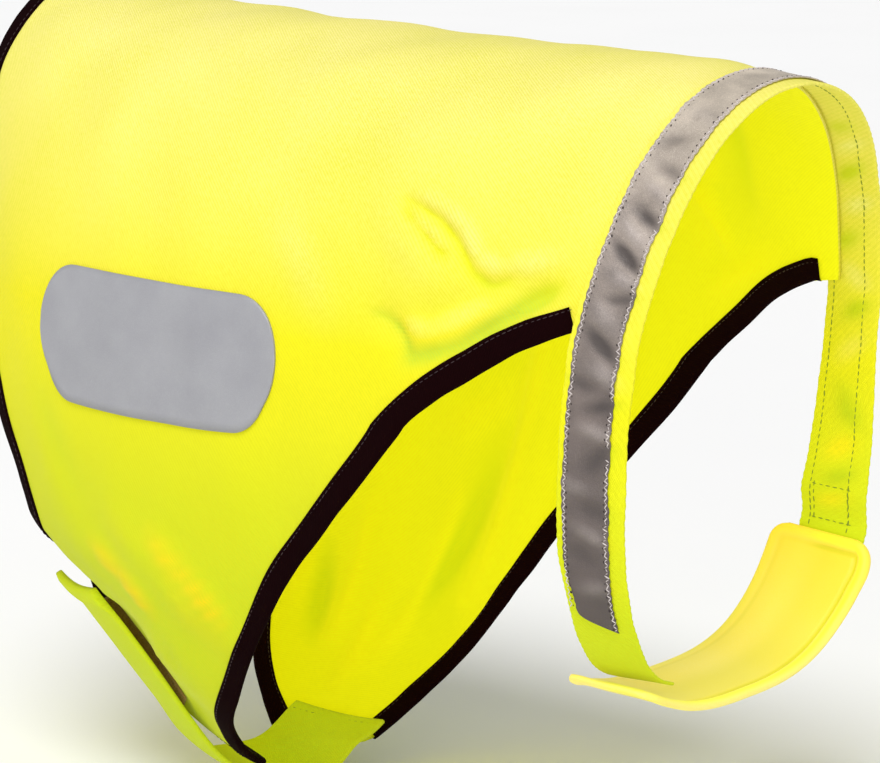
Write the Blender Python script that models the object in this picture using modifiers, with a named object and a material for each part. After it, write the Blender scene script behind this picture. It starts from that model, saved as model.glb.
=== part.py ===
"""A high-visibility dog vest in the hollow, worn form: one cloth saddle with a flap down each
side, black bias binding, a neck band with reflective tape, a neck closure pad and a belly strap.

Metres, +Z up, +X towards the dog's head, -Y towards its right side. The origin is on the inner
face of the cloth, on the ridge of the back at the withers, where the wearer holds the vest up.

The cloth lies on one smooth form, a loft through the sections of a general dog's trunk. A place on
it is (x, angle, lift): x along the back, the angle in degrees round the section from the ridge
(positive to the dog's left, 180 under the belly), and the lift outwards from the form.
"""

import math

import bpy
import numpy as np
from mathutils import Vector
from mathutils.geometry import delaunay_2d_cdt

MM = 0.001

# Driving sizes.
CLOTH_WALL = 1.5 * MM
BINDING_WALL = 1.0 * MM
BINDING_WIDTH = 9.2 * MM
BAND_WALL = 1.4 * MM
BAND_WIDTH = 30.0 * MM
TAPE_WALL = 1.0 * MM
TAPE_WIDTH = 20.0 * MM
TAPE_REAR_MARGIN = 2.0 * MM
PAD_WALL = 3.0 * MM
STRAP_WALL = 2.6 * MM
PILE_WALL = 1.2 * MM
PILE_LENGTH = 48.0 * MM
PILE_WIDTH = 34.0 * MM
PATCH_WALL = 1.0 * MM
PATCH_LENGTH = 150.0 * MM
PATCH_HEIGHT = 46.0 * MM
CLEARANCE = 0.3 * MM
CHORD_SLACK = 0.3 * MM
SEAM_ALLOWANCE = 9.0 * MM
TIP_RADIUS = 13.0 * MM
GRID = 11.5 * MM
EDGE_STEP = 11.0 * MM
STRAP_STEPS = 4
BAND_STEP = 4.6
STRIP_ROWS = 45

# Each piece's colour, roughness and metallic value.
FINISHES = {
    "saddle": ((0.88, 0.95, 0.04), 0.85, 0.0),
    "edge_binding": ((0.02, 0.004, 0.008), 0.8, 0.0),
    "far_leg_binding": ((0.02, 0.004, 0.008), 0.8, 0.0),
    "neck_band": ((0.84, 0.90, 0.05), 0.85, 0.0),
    "reflective_tape": ((0.48, 0.44, 0.45), 0.35, 0.6),
    "neck_closure_pad": ((0.95, 0.93, 0.12), 0.6, 0.0),
    "belly_strap": ((0.84, 0.90, 0.05), 0.85, 0.0),
    "belly_fastener_pile": ((0.35, 0.25, 0.04), 0.95, 0.0),
    "reflective_patch": ((0.38, 0.38, 0.40), 0.4, 0.4),
}

# Sizes of the form and of the flat pattern that is laid on it.
MID_HEIGHT = -146.0 * MM
BACK_POWER = 0.95
GIRTH_PER_DEGREE = 2.4 * MM
ROLL = 1.5
ROLL_START = -10.0 * MM
ROLL_FULL = -90.0 * MM
CORNER_ANGLE = 71.5
PULL = 7.0 * MM
PULL_START = 113.0
PULL_FULL = 141.0

# The trunk's sections, in millimetres: half of the width, the height of the back and of the belly,
# and how square the lower half is (1 is an ellipse, less is squarer).
SECTION_COLUMNS = ("x", "half_width", "back", "belly", "belly_power")
SECTIONS = (
    (-400, 54, 16, -215, 0.88),
    (-375, 64, 15, -230, 0.86),
    (-340, 82, 14, -255, 0.84),
    (-300, 94, 12, -292, 0.83),
    (-250, 102, 10, -325, 0.83),
    (-200, 105, 7, -337, 0.85),
    (-130, 103, 4, -323, 0.90),
    (-60, 99, 2, -284, 0.85),
    (-15, 89, 1, -257, 0.75),
    (0, 86.5, 0, -256.5, 0.74),
    (25, 82, -5, -256, 0.72),
    (50, 80, -8, -258, 0.72),
    (80, 78, -12, -258, 0.72),
)

# The saddle's edges on either side, as the angle down from the ridge and the place along the back.
# Each flap's tip is the line between the angles where the two edges stop on that side.
LEG_EDGE_COLUMNS = ("angle", "x")
LEG_EDGE = (
    (71.5, 1),
    (75.5, -22),
    (82, -47),
    (89.5, -74),
    (97, -96),
    (104.5, -119),
    (113.5, -147),
    (124.5, -170),
    (135.5, -187),
    (144.5, -200),
    (157.5, -208),
    (170, -211),
)
REAR_EDGE_COLUMNS = ("angle", "x")
REAR_EDGE = (
    (0, -374),
    (20, -377),
    (42, -380),
    (60, -370),
    (80, -354),
    (98, -340),
    (117, -322),
    (140, -310),
    (155, -297),
    (165, -283),
    (170.5, -270),
    (173, -260),
    (175, -246),
)
NEAR_TIP = (170.0, 167.0)
FAR_TIP = (175.0, 167.0)

# The neck band's centre line, from its near end over the withers to its far end, and how far it
# stands off what it lies on.
BAND_COLUMNS = ("angle", "x", "lift")
BAND_LINE = (
    (-156, 8, -4),
    (-147, 8, 0),
    (-139, 8, 2),
    (-125, 8, 2),
    (-100, 8, 0),
    (-75, 12, 0),
    (-50, 20, 0),
    (-25, 28, 0),
    (0, 34, 0),
    (25, 35, 0),
    (50, 27, 0),
    (75, 18, 0),
    (100, 11, 0),
    (122, 8, 0),
)
BAND_NEAR_END = -151.0
BAND_FAR_END = 119.0
TAPE_NEAR_END = -121.0
TAPE_END_SLANT = 3.0
TAPE_FAR_END = 109.0

# The neck closure pad, from the far end of the band under the throat to the near end.
PAD_COLUMNS = ("angle", "x_rear", "x_front", "lift_rear", "lift_front")
PAD = (
    (111, -5, 24, 6.9, 6.9),
    (118, -8, 29, 6.9, 6.9),
    (122, -17, 33, 5.0, 5.2),
    (132, -21, 33, 2.0, 3.0),
    (150, -22, 31, 0.0, 3.0),
    (180, -22, 29, -1.0, 4.0),
    (203, -21, 27, 3.0, 8.0),
    (215, -19, 25, 8.0, 11.0),
    (221, -16, 22, 8.8, 12.5),
)

# The belly strap, from its root inside the far flap's tip, under the belly and up the outside of
# the near flap: the places and lifts of its rear and its front edge.
STRAP_COLUMNS = ("angle_rear", "x_rear", "lift_rear", "angle_front", "x_front", "lift_front")
STRAP = (
    (170, -252, -3.3, 162, -208, -3.5),
    (175, -252, -3.3, 168, -208, -3.5),
    (178, -252, -2.6, 172, -209, -3.3),
    (181, -252, 2.5, 177, -210, 0.5),
    (185, -254, 12.0, 183, -213, 6.0),
    (189, -258, 16.5, 190, -220, 11.0),
    (193, -266, 15.0, 198, -232, 9.0),
    (199, -279, 7.5, 206, -243, 4.5),
    (207, -296, 3.0, 215, -254, 0.0),
    (214, -310, 2.0, 222, -270, -3.5),
    (219, -320, 3.6, 226, -287, -4.2),
)

# What is sewn flat on the near flap: its centre in the flat pattern, as (x, angle).
PATCH_PLACE = (-219.0 * MM, -84.5)
PILE_PLACE = (-262.0 * MM, -148.3)
PILE_TURN = -45.0

# The largest folds: a run from one place to another, how wide it is and how high (troughs below 0).
FOLD_COLUMNS = ("x0", "angle0", "x1", "angle1", "width", "height")
FOLDS = (
    (-92, -52, -54, -62, 7, -3.0),
    (-54, -62, -30, -65, 7, -2.5),
    (-96, -58, -60, -68, 8, 2.5),
    (-94, -71, -74, -78, 7, -2.5),
    (-80, -75, -14, -64, 10, -3.5),
    (-320, -122, -236, -131, 9, 3.0),
    (-246, -107, -184, -122, 8, 3.0),
    (-40, 18, -46, 66, 16, 3.5),
    (-88, 40, -140, 104, 16, 4.0),
    (-130, 60, -182, 122, 15, -4.0),
    (-180, 84, -222, 150, 15, 4.0),
    (-250, 60, -262, 150, 18, -3.0),
    (-326, -139, -240, -144, 21, -15.0),
    (-265, 179, -215, 179, 14, 13.0),
)


def table(columns, rows):
    """The rows of a table as one array for each named column."""
    return {name: np.array([row[i] for row in rows], float) for i, name in enumerate(columns)}


def smooth(xs, ys, x):
    """A smooth curve through the points (xs, ys), read at x."""
    slopes = np.gradient(ys, xs)
    i = np.clip(np.searchsorted(xs, x) - 1, 0, len(xs) - 2)
    h = xs[i + 1] - xs[i]
    t = (x - xs[i]) / h
    near = (1 + 2 * t) * (1 - t) ** 2 * ys[i] + t * (1 - t) ** 2 * h * slopes[i]
    far = t * t * (3 - 2 * t) * ys[i + 1] + t * t * (t - 1) * h * slopes[i + 1]
    return near + far


SECTION = table(SECTION_COLUMNS, SECTIONS)


def section_value(name, x):
    """One of the section table's sizes, in its own unit, at the place x in metres."""
    place = np.clip(x / MM, SECTIONS[0][0], SECTIONS[-1][0])
    return smooth(SECTION["x"], SECTION[name], place)


def bare_form(x, angle):
    """The points of the smooth form at x and angle, as an array of three columns."""
    turn = np.radians(angle)
    s, c = np.sin(turn), np.cos(turn)
    power = np.where(c > 0, BACK_POWER, section_value("belly_power", x))
    half = section_value("half_width", x) * MM
    back = section_value("back", x) * MM - MID_HEIGHT
    belly = MID_HEIGHT - section_value("belly", x) * MM
    y = half * np.sign(s) * np.abs(s) ** power
    z = MID_HEIGHT + np.where(c > 0, back, belly) * np.sign(c) * np.abs(c) ** power
    return np.stack([x, y, z], axis=-1)


def outward(surface, x, angle):
    """The outward unit normals of a surface that is a function of x and angle."""
    step_x, step_angle = 0.5 * MM, 0.5
    along = surface(x + step_x, angle) - surface(x - step_x, angle)
    around = surface(x, angle + step_angle) - surface(x, angle - step_angle)
    normal = np.cross(along, around)
    return normal / np.linalg.norm(normal, axis=-1, keepdims=True)


def fold_lift(x, angle):
    """How far the folds raise or sink the cloth at x and angle."""
    lift = np.zeros_like(x)
    place = np.stack([x, angle * GIRTH_PER_DEGREE], axis=-1)
    for x0, angle0, x1, angle1, width, height in FOLDS:
        start = np.array([x0 * MM, angle0 * GIRTH_PER_DEGREE])
        run = np.array([x1 * MM, angle1 * GIRTH_PER_DEGREE]) - start
        t = np.clip((place - start) @ run / (run @ run), 0, 1)
        gap = np.linalg.norm(place - start - t[..., None] * run, axis=-1)
        taper = 0.35 + 0.65 * np.sin(math.pi * t)
        lift = lift + height * MM * taper * np.exp(-((gap / (width * MM)) ** 2))
    return lift


def folded_form(x, angle):
    """The form with the cloth's folds on it."""
    return bare_form(x, angle) + fold_lift(x, angle)[..., None] * outward(bare_form, x, angle)


def on_form(x, angle, lift, surface=bare_form):
    """Points at x and angle, moved out from the surface by the lift."""
    x, angle, lift = np.broadcast_arrays(np.asarray(x, float), np.asarray(angle, float), lift)
    return surface(x, angle) + lift[..., None] * outward(surface, x, angle)


# The flat pattern, in metres: across is x, and up is the girth from the ridge, so a place's angle
# is its girth over GIRTH_PER_DEGREE. The pattern is the same on both sides but for the tips. The
# laid cloth is rolled a little round the trunk behind the shoulders, down on the dog's left, and
# the belly strap pulls the near flap's tip to the rear.
def ease(share):
    """A smooth step from 0 to 1."""
    share = np.clip(share, 0, 1)
    return share * share * (3 - 2 * share)


def laid(flat):
    """The x and angle at which points of the flat pattern lie on the form."""
    x, angle = flat[..., 0], flat[..., 1] / GIRTH_PER_DEGREE
    pull = PULL * ease((-angle - PULL_START) / (PULL_FULL - PULL_START))
    return x - pull, angle + ROLL * ease((x - ROLL_START) / (ROLL_FULL - ROLL_START))


def band_line(name, angle):
    """The neck band's centre line, or its lift, at an angle."""
    line = table(BAND_COLUMNS, BAND_LINE)
    return smooth(line["angle"], line[name], angle) * MM


def edge_points(columns, rows, last_angle):
    """Points on one side's edge in the flat pattern, from its first row to the last angle."""
    edge = table(columns, rows)
    angle = np.linspace(edge["angle"][0], last_angle, 160)
    return np.stack([smooth(edge["angle"], edge["x"], angle) * MM, angle * GIRTH_PER_DEGREE], axis=-1)


def evenly(points, step):
    """Points at even distances of about one step along a polyline."""
    lengths = np.concatenate([[0], np.cumsum(np.linalg.norm(np.diff(points, axis=0), axis=1))])
    count = max(2, round(lengths[-1] / step) + 1)
    places = np.linspace(0, lengths[-1], count)
    return np.stack([np.interp(places, lengths, points[:, k]) for k in range(2)], axis=-1)


def rounded(points, radius):
    """A polyline with its corners rounded, by averaging it over a window as wide as the radius."""
    fine = evenly(points, 1.0 * MM)
    reach = int(radius / MM / 2)
    kernel = np.hanning(2 * reach + 3)[1:-1]
    kernel /= kernel.sum()
    padded = np.concatenate([
        2 * fine[0] - fine[reach:0:-1],
        fine,
        2 * fine[-1] - fine[-2:-reach - 2:-1],
    ])
    return np.stack([np.convolve(padded[:, k], kernel, "valid") for k in range(2)], axis=-1)


def flap_edge(tip, corner):
    """One side's edge, from the ridge at the rear round the flap's tip to the neck's corner."""
    rear = edge_points(REAR_EDGE_COLUMNS, REAR_EDGE, tip[0])
    leg = edge_points(LEG_EDGE_COLUMNS, LEG_EDGE, tip[1])
    run = rounded(np.concatenate([rear, leg[::-1]]), 2 * TIP_RADIUS)
    run[0] = (rear[0][0], 0.0)
    run[-1] = corner
    return evenly(run, EDGE_STEP)


def saddle_edges():
    """The pattern's edge in three runs that close: the neck, from far to near, the near side's,
    from the neck to the ridge at the rear, and the far side's back to the neck."""
    angles = np.linspace(CORNER_ANGLE, -CORNER_ANGLE, 41)
    rear_of_band = band_line("x", angles) - BAND_WIDTH / 2 + SEAM_ALLOWANCE
    neck = np.stack([rear_of_band, angles * GIRTH_PER_DEGREE], axis=-1)
    other_side = np.array([1, -1])
    near = flap_edge(NEAR_TIP, neck[-1] * other_side) * other_side
    return evenly(neck, EDGE_STEP), near[::-1], flap_edge(FAR_TIP, neck[0])


def inwards(run, width):
    """The run moved inwards, to the right of its direction, with its ends moved square to it."""
    ahead = np.gradient(run, axis=0)
    ahead /= np.linalg.norm(ahead, axis=1, keepdims=True)
    return run + width * np.stack([ahead[:, 1], -ahead[:, 0]], axis=-1)


def make_material(name):
    """The piece's own Principled material."""
    colour, roughness, metallic = FINISHES[name]
    material = bpy.data.materials.new(name)
    material.use_nodes = True
    shader = material.node_tree.nodes["Principled BSDF"]
    shader.inputs["Base Color"].default_value = (*colour, 1.0)
    shader.inputs["Roughness"].default_value = roughness
    shader.inputs["Metallic"].default_value = metallic
    return material


def make_object(name, collection, verts, faces, wall):
    """An object from an open surface, which Solidify gives its wall, half to either side."""
    mesh = bpy.data.meshes.new(name)
    mesh.from_pydata([tuple(v) for v in verts], [], [tuple(int(i) for i in f) for f in faces])
    mesh.materials.append(make_material(name))
    mesh.shade_smooth()
    part = bpy.data.objects.new(name, mesh)
    collection.objects.link(part)
    shell = part.modifiers.new("wall", "SOLIDIFY")
    shell.thickness = wall
    shell.offset = 0.0
    shell.use_even_offset = True
    return part


def strip_faces(rows, across):
    """The quads of a strip with so many rows of so many points."""
    faces = []
    for r in range(rows - 1):
        for k in range(across - 1):
            a = r * across + k
            faces.append((a, a + 1, a + across + 1, a + across))
    return faces


def point_in_outline(point, outline):
    """Whether a point of the pattern lies inside its outline."""
    inside = False
    for a, b in zip(outline, np.roll(outline, -1, axis=0)):
        if (a[1] > point[1]) != (b[1] > point[1]):
            if point[0] < a[0] + (point[1] - a[1]) * (b[0] - a[0]) / (b[1] - a[1]):
                inside = not inside
    return inside


def gap_to(point, corners):
    """The distance from a point of the pattern to a closed outline."""
    run = np.roll(corners, -1, axis=0) - corners
    t = np.clip(((point - corners) * run).sum(axis=1) / (run * run).sum(axis=1), 0, 1)
    return np.linalg.norm(point - corners - t[:, None] * run, axis=1).min()


def saddle_grid(outline, margin, marks):
    """Points on a triangular grid inside the outline, clear of its edge and of the marks."""
    low, high = outline.min(axis=0), outline.max(axis=0)
    points = []
    for row, girth in enumerate(np.arange(low[1], high[1], GRID * 0.87)):
        for x in np.arange(low[0] + (row % 2) * GRID / 2, high[0], GRID):
            point = np.array([x, girth])
            clear = all(gap_to(point, mark) > GRID * 0.4 for mark in marks)
            if clear and gap_to(point, outline) > margin and point_in_outline(point, outline):
                points.append(point)
    return np.array(points)


def patch_mark():
    """The reflective patch's outline in the pattern: a bar with round ends."""
    radius = PATCH_HEIGHT / 2
    straight = PATCH_LENGTH / 2 - radius
    centre = np.array([PATCH_PLACE[0], PATCH_PLACE[1] * GIRTH_PER_DEGREE])
    corners = []
    for end in (1, -1):
        for turn in np.radians(np.linspace(-90, 90, 8)):
            corners.append([end * (straight + radius * np.cos(turn)), end * radius * np.sin(turn)])
        for share in (0.25, 0.5, 0.75):
            corners.append([end * straight * (1 - 2 * share), end * radius])
    return centre + np.array(corners)


def pile_mark():
    """The fastener pile's outline in the pattern: a rectangle on the slant."""
    centre = np.array([PILE_PLACE[0], PILE_PLACE[1] * GIRTH_PER_DEGREE])
    turn = math.radians(PILE_TURN)
    ahead = np.array([math.cos(turn), math.sin(turn)]) * PILE_LENGTH / 2
    across = np.array([-math.sin(turn), math.cos(turn)]) * PILE_WIDTH / 2
    corners = [-ahead - across, ahead - across, ahead + across, -ahead + across, -ahead - across]
    return centre + evenly(np.array(corners), EDGE_STEP)[:-1]


def cut_pattern(runs, marks):
    """The saddle's pattern in triangles, with the binding's lines and the marks drawn in."""
    neck, near, far = runs
    outline = np.concatenate([neck[:-1], near[:-1], far[:-1]])
    bound = [inwards(near, BINDING_WIDTH), inwards(far, BINDING_WIDTH)]
    grid = saddle_grid(outline, BINDING_WIDTH + GRID * 0.45, marks)
    edges = []
    start = 0
    for run, closed in [(outline, True), *((b, False) for b in bound), *((m, True) for m in marks)]:
        edges += [(start + i, start + i + 1) for i in range(len(run) - 1)]
        if closed:
            edges.append((start + len(run) - 1, start))
        start += len(run)
    flat = np.concatenate([outline, *bound, *marks, grid])
    loop = [list(range(len(outline)))]
    result = delaunay_2d_cdt([Vector(p) for p in flat], edges, loop, 1, 1e-7)
    return np.array([tuple(v) for v in result[0]]), [tuple(face) for face in result[2]]


def make_panel(name, collection, places, faces, lift, wall):
    """Cloth from faces of the pattern, laid on the folded form at the lift of its mid-surface."""
    used = sorted({i for face in faces for i in face})
    number = {i: k for k, i in enumerate(used)}
    x, angle = laid(places[used])
    verts = on_form(x, angle, lift, folded_form)
    faces = [tuple(number[i] for i in face) for face in faces]
    return make_object(name, collection, verts, faces, wall)


def make_sewn_on(name, collection, pattern, mark, wall):
    """A patch sewn flat on the saddle: the pattern's own faces within the mark, moved out."""
    places, faces = pattern
    inner = [f for f in faces if point_in_outline(places[list(f)].mean(axis=0), mark)]
    lift = CLOTH_WALL + CLEARANCE + CHORD_SLACK / 3 + wall / 2
    return make_panel(name, collection, places, inner, lift, wall)


def make_binding(name, collection, run):
    """Bias binding folded over the edge that the run follows: a U along it, given its wall."""
    reach = CLEARANCE + CHORD_SLACK + BINDING_WALL / 2
    above, below = CLOTH_WALL + reach, -reach
    section = (
        (BINDING_WIDTH, above),
        (0.0, above),
        (-reach, CLOTH_WALL),
        (-reach, 0.0),
        (0.0, below),
        (BINDING_WIDTH, below),
    )
    lines = []
    for width, lift in section:
        x, angle = laid(inwards(run, width))
        lines.append(on_form(x, angle, lift, folded_form))
    verts = np.stack(lines, axis=1).reshape(-1, 3)
    faces = strip_faces(len(run), len(section))
    return make_object(name, collection, verts, faces, BINDING_WALL)


def make_band(name, collection, ends, across, lift, wall, slant=0.0):
    """A strip along the neck band's line, between two angles. Its places across are measured from
    the centre line, towards the head, and the near end may be cut on a slant."""
    rows = round(abs(ends[1] - ends[0]) / BAND_STEP) + 1
    angles = np.linspace(ends[0], ends[1], rows)
    lines = []
    for place in across:
        share = (place - across[0]) / (across[-1] - across[0])
        first = ends[0] - slant * share
        along = ends[1] - (ends[1] - angles) * (ends[1] - first) / (ends[1] - ends[0])
        rise = lift + band_line("lift", along)
        lines.append(on_form(band_line("x", along) + place, along, rise))
    verts = np.stack(lines, axis=1).reshape(-1, 3)
    faces = strip_faces(rows, len(across))
    return make_object(name, collection, verts, faces, wall)


def make_ruled_strip(name, collection, edges, wall):
    """A strip ruled between two edges, each a row of (angle, x, lift) for every station along it."""
    lines = []
    for share in (0.0, 0.5, 1.0):
        places = edges[0] + (edges[1] - edges[0]) * share
        station = np.arange(len(places), dtype=float)
        along = np.linspace(0, len(places) - 1, STRIP_ROWS)
        angle, x, lift = (smooth(station, places[:, k], along) for k in range(3))
        lines.append(on_form(x * MM, angle, lift * MM, folded_form))
    verts = np.stack(lines, axis=1).reshape(-1, 3)
    return make_object(name, collection, verts, strip_faces(STRIP_ROWS, 3), wall)


def rows_of(columns, rows, angle, x, lift):
    """One edge of a strip, from three named columns of its table, as rows of (angle, x, lift)."""
    strip = table(columns, rows)
    return np.stack([strip[angle], strip[x], strip[lift]], axis=-1)


def pad_edges():
    """The closure pad's rear and front edges."""
    rear = rows_of(PAD_COLUMNS, PAD, "angle", "x_rear", "lift_rear")
    return rear, rows_of(PAD_COLUMNS, PAD, "angle", "x_front", "lift_front")


def strap_edges():
    """The belly strap's rear and front edges."""
    rear = rows_of(STRAP_COLUMNS, STRAP, "angle_rear", "x_rear", "lift_rear")
    return rear, rows_of(STRAP_COLUMNS, STRAP, "angle_front", "x_front", "lift_front")


def build():
    """All the vest's pieces, in one collection."""
    for leftover in list(bpy.data.objects):
        bpy.data.objects.remove(leftover, do_unlink=True)
    vest = bpy.data.collections.new("dog_vest")
    bpy.context.scene.collection.children.link(vest)

    runs = saddle_edges()
    near, far = runs[1:]
    marks = [patch_mark(), pile_mark()]
    pattern = cut_pattern(runs, marks)
    make_panel("saddle", vest, *pattern, CLOTH_WALL / 2, CLOTH_WALL)
    make_sewn_on("reflective_patch", vest, pattern, marks[0], PATCH_WALL)
    make_sewn_on("belly_fastener_pile", vest, pattern, marks[1], PILE_WALL)
    strap_rear = int(np.argmax(far[:, 1]))
    strap_front = strap_rear + STRAP_STEPS
    make_binding("edge_binding", vest, np.concatenate([near[:-1], far[:strap_rear]]))
    make_binding("far_leg_binding", vest, far[strap_front:])

    half = BAND_WIDTH / 2
    over_binding = CLOTH_WALL + BINDING_WALL + 2 * CLEARANCE + CHORD_SLACK
    band_lift = over_binding + BAND_WALL / 2
    tape_lift = over_binding + BAND_WALL + CLEARANCE + TAPE_WALL / 2
    tape_rear = -half + TAPE_REAR_MARGIN
    make_band(
        "neck_band", vest, (BAND_NEAR_END, BAND_FAR_END), (-half, 0.0, half),
        band_lift, BAND_WALL,
    )
    make_band(
        "reflective_tape", vest, (TAPE_NEAR_END, TAPE_FAR_END),
        (tape_rear, tape_rear + TAPE_WIDTH / 2, tape_rear + TAPE_WIDTH),
        tape_lift, TAPE_WALL, TAPE_END_SLANT,
    )
    make_ruled_strip("neck_closure_pad", vest, pad_edges(), PAD_WALL)
    make_ruled_strip("belly_strap", vest, strap_edges(), STRAP_WALL)


build()
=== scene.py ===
# %% [markdown]
# # A reflective dog vest, piece by piece
# The vest is one panel of bright yellow cloth with a flap down each side. Its edges are bound in
# black, a webbing band with silver tape goes round the neck, a padded tab closes the band under the
# throat, and a strap goes under the belly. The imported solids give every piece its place. This script
# lays finer cloth, thread and pile over them. The standard view shows colours as they are, because a
# filmic one greys the bright yellow.

import math

import bpy
import numpy as np
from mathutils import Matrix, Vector


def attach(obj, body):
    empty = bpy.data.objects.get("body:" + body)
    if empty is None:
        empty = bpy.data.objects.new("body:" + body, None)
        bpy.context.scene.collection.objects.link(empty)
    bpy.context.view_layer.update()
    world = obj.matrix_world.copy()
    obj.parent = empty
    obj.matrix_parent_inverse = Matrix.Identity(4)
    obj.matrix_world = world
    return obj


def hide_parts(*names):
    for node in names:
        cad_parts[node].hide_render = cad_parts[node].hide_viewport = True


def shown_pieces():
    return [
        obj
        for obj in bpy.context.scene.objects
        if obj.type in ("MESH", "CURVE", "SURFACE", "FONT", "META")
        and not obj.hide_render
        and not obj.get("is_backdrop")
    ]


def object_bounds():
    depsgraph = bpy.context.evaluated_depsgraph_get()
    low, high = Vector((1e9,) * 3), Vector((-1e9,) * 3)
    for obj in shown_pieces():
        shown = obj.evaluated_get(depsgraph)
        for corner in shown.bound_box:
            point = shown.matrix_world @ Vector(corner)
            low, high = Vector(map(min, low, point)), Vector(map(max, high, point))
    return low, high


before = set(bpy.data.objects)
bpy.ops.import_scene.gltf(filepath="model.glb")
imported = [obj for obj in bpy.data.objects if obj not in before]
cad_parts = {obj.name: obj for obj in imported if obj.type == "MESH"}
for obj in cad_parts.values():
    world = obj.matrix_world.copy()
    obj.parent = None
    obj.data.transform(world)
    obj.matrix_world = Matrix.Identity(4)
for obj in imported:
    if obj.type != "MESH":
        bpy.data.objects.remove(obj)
CAD_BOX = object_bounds()
bpy.context.scene.view_settings.view_transform = "Standard"
MM = 0.001
print("solids:", sorted(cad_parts))

# %% [markdown]
# ## The camera
# The picture is taken from the front right of the vest, a little above it, with a long lens. The
# camera comes first, because the scale of every detail follows from how much of a millimetre a pixel
# shows. It could be aimed with a constraint, but a direction worked out from two angles is plainer.

# %% Stand the camera in front of the right shoulder
CAMERA_AZIMUTH = math.radians(40.0)
CAMERA_ELEVATION = math.radians(10.6)
CAMERA_DISTANCE = 1.5
CAMERA_TARGET = Vector((-142.3 * MM, 0.0, -148.8 * MM))
FOCAL_LENGTH_PER_WIDTH = 2.262 * CAMERA_DISTANCE * 1000 / 880

lens_data = bpy.data.cameras.new("vest_camera")
lens_data.lens = FOCAL_LENGTH_PER_WIDTH * lens_data.sensor_width
camera = bpy.data.objects.new("vest_camera", lens_data)
bpy.context.scene.collection.objects.link(camera)
bpy.context.scene.camera = camera
towards_camera = Vector((
    math.sin(CAMERA_AZIMUTH) * math.cos(CAMERA_ELEVATION),
    -math.cos(CAMERA_AZIMUTH) * math.cos(CAMERA_ELEVATION),
    math.sin(CAMERA_ELEVATION),
))
camera.rotation_mode = "QUATERNION"
camera.location = CAMERA_TARGET + towards_camera * CAMERA_DISTANCE
camera.rotation_quaternion = (-towards_camera).to_track_quat("-Z", "Y")
print("lens of", round(lens_data.lens, 1), "mm on a", lens_data.sensor_width, "mm sensor")

# %% [markdown]
# ## The form that the cloth lies on
# Cloth takes its shape from what it is worn on. Here that is a general trunk: a loft through thirteen
# sections, each a squared-off ellipse. A place on it is x along the back, an angle down from the
# ridge, below zero on the dog's right, and a lift off the surface. Every piece is laid through the
# same three numbers, so pieces that touch on the real vest touch here too.

# %% The trunk's sections, in millimetres
SECTION_COLUMNS = ("x", "half_width", "back", "belly", "belly_power")
SECTIONS = (
    (-400, 54, 16, -215, 0.88),
    (-375, 64, 15, -230, 0.86),
    (-340, 82, 14, -255, 0.84),
    (-300, 94, 12, -292, 0.83),
    (-250, 102, 10, -325, 0.83),
    (-200, 105, 7, -337, 0.85),
    (-130, 103, 4, -323, 0.90),
    (-60, 99, 2, -284, 0.85),
    (-15, 89, 1, -257, 0.75),
    (0, 86.5, 0, -256.5, 0.74),
    (25, 82, -5, -256, 0.72),
    (50, 80, -8, -258, 0.72),
    (80, 78, -12, -258, 0.72),
)
MID_HEIGHT = -146.0 * MM
BACK_POWER = 0.95


def table(columns, rows):
    """The rows of a table as one array for each named column."""
    return {name: np.array([row[i] for row in rows], float) for i, name in enumerate(columns)}


def smooth(xs, ys, x):
    """A smooth curve through the points (xs, ys), read at x."""
    slopes = np.gradient(ys, xs)
    i = np.clip(np.searchsorted(xs, x) - 1, 0, len(xs) - 2)
    h = xs[i + 1] - xs[i]
    t = (x - xs[i]) / h
    near = (1 + 2 * t) * (1 - t) ** 2 * ys[i] + t * (1 - t) ** 2 * h * slopes[i]
    far = t * t * (3 - 2 * t) * ys[i + 1] + t * t * (t - 1) * h * slopes[i + 1]
    return near + far


SECTION = table(SECTION_COLUMNS, SECTIONS)
print(len(SECTIONS), "sections over", SECTIONS[-1][0] - SECTIONS[0][0], "mm")


# %% From a place to a point in space
def section_value(name, x):
    """One of the section table's sizes at the place x, in the table's own unit."""
    place = np.clip(x / MM, SECTIONS[0][0], SECTIONS[-1][0])
    return smooth(SECTION["x"], SECTION[name], place)


def bare_form(x, angle):
    """The points of the smooth form at x and angle."""
    turn = np.radians(angle)
    s, c = np.sin(turn), np.cos(turn)
    power = np.where(c > 0, BACK_POWER, section_value("belly_power", x))
    half = section_value("half_width", x) * MM
    back = section_value("back", x) * MM - MID_HEIGHT
    belly = MID_HEIGHT - section_value("belly", x) * MM
    y = half * np.sign(s) * np.abs(s) ** power
    z = MID_HEIGHT + np.where(c > 0, back, belly) * np.sign(c) * np.abs(c) ** power
    return np.stack([x, y, z], axis=-1)


def outward(surface, x, angle):
    """The outward unit normals of a surface that is a function of x and angle."""
    step_x, step_angle = 0.5 * MM, 0.5
    along = surface(x + step_x, angle) - surface(x - step_x, angle)
    around = surface(x, angle + step_angle) - surface(x, angle - step_angle)
    normal = np.cross(along, around)
    return normal / np.linalg.norm(normal, axis=-1, keepdims=True)


print("ridge at the withers:", bare_form(np.array([0.0]), np.array([0.0])).round(4))
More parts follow.
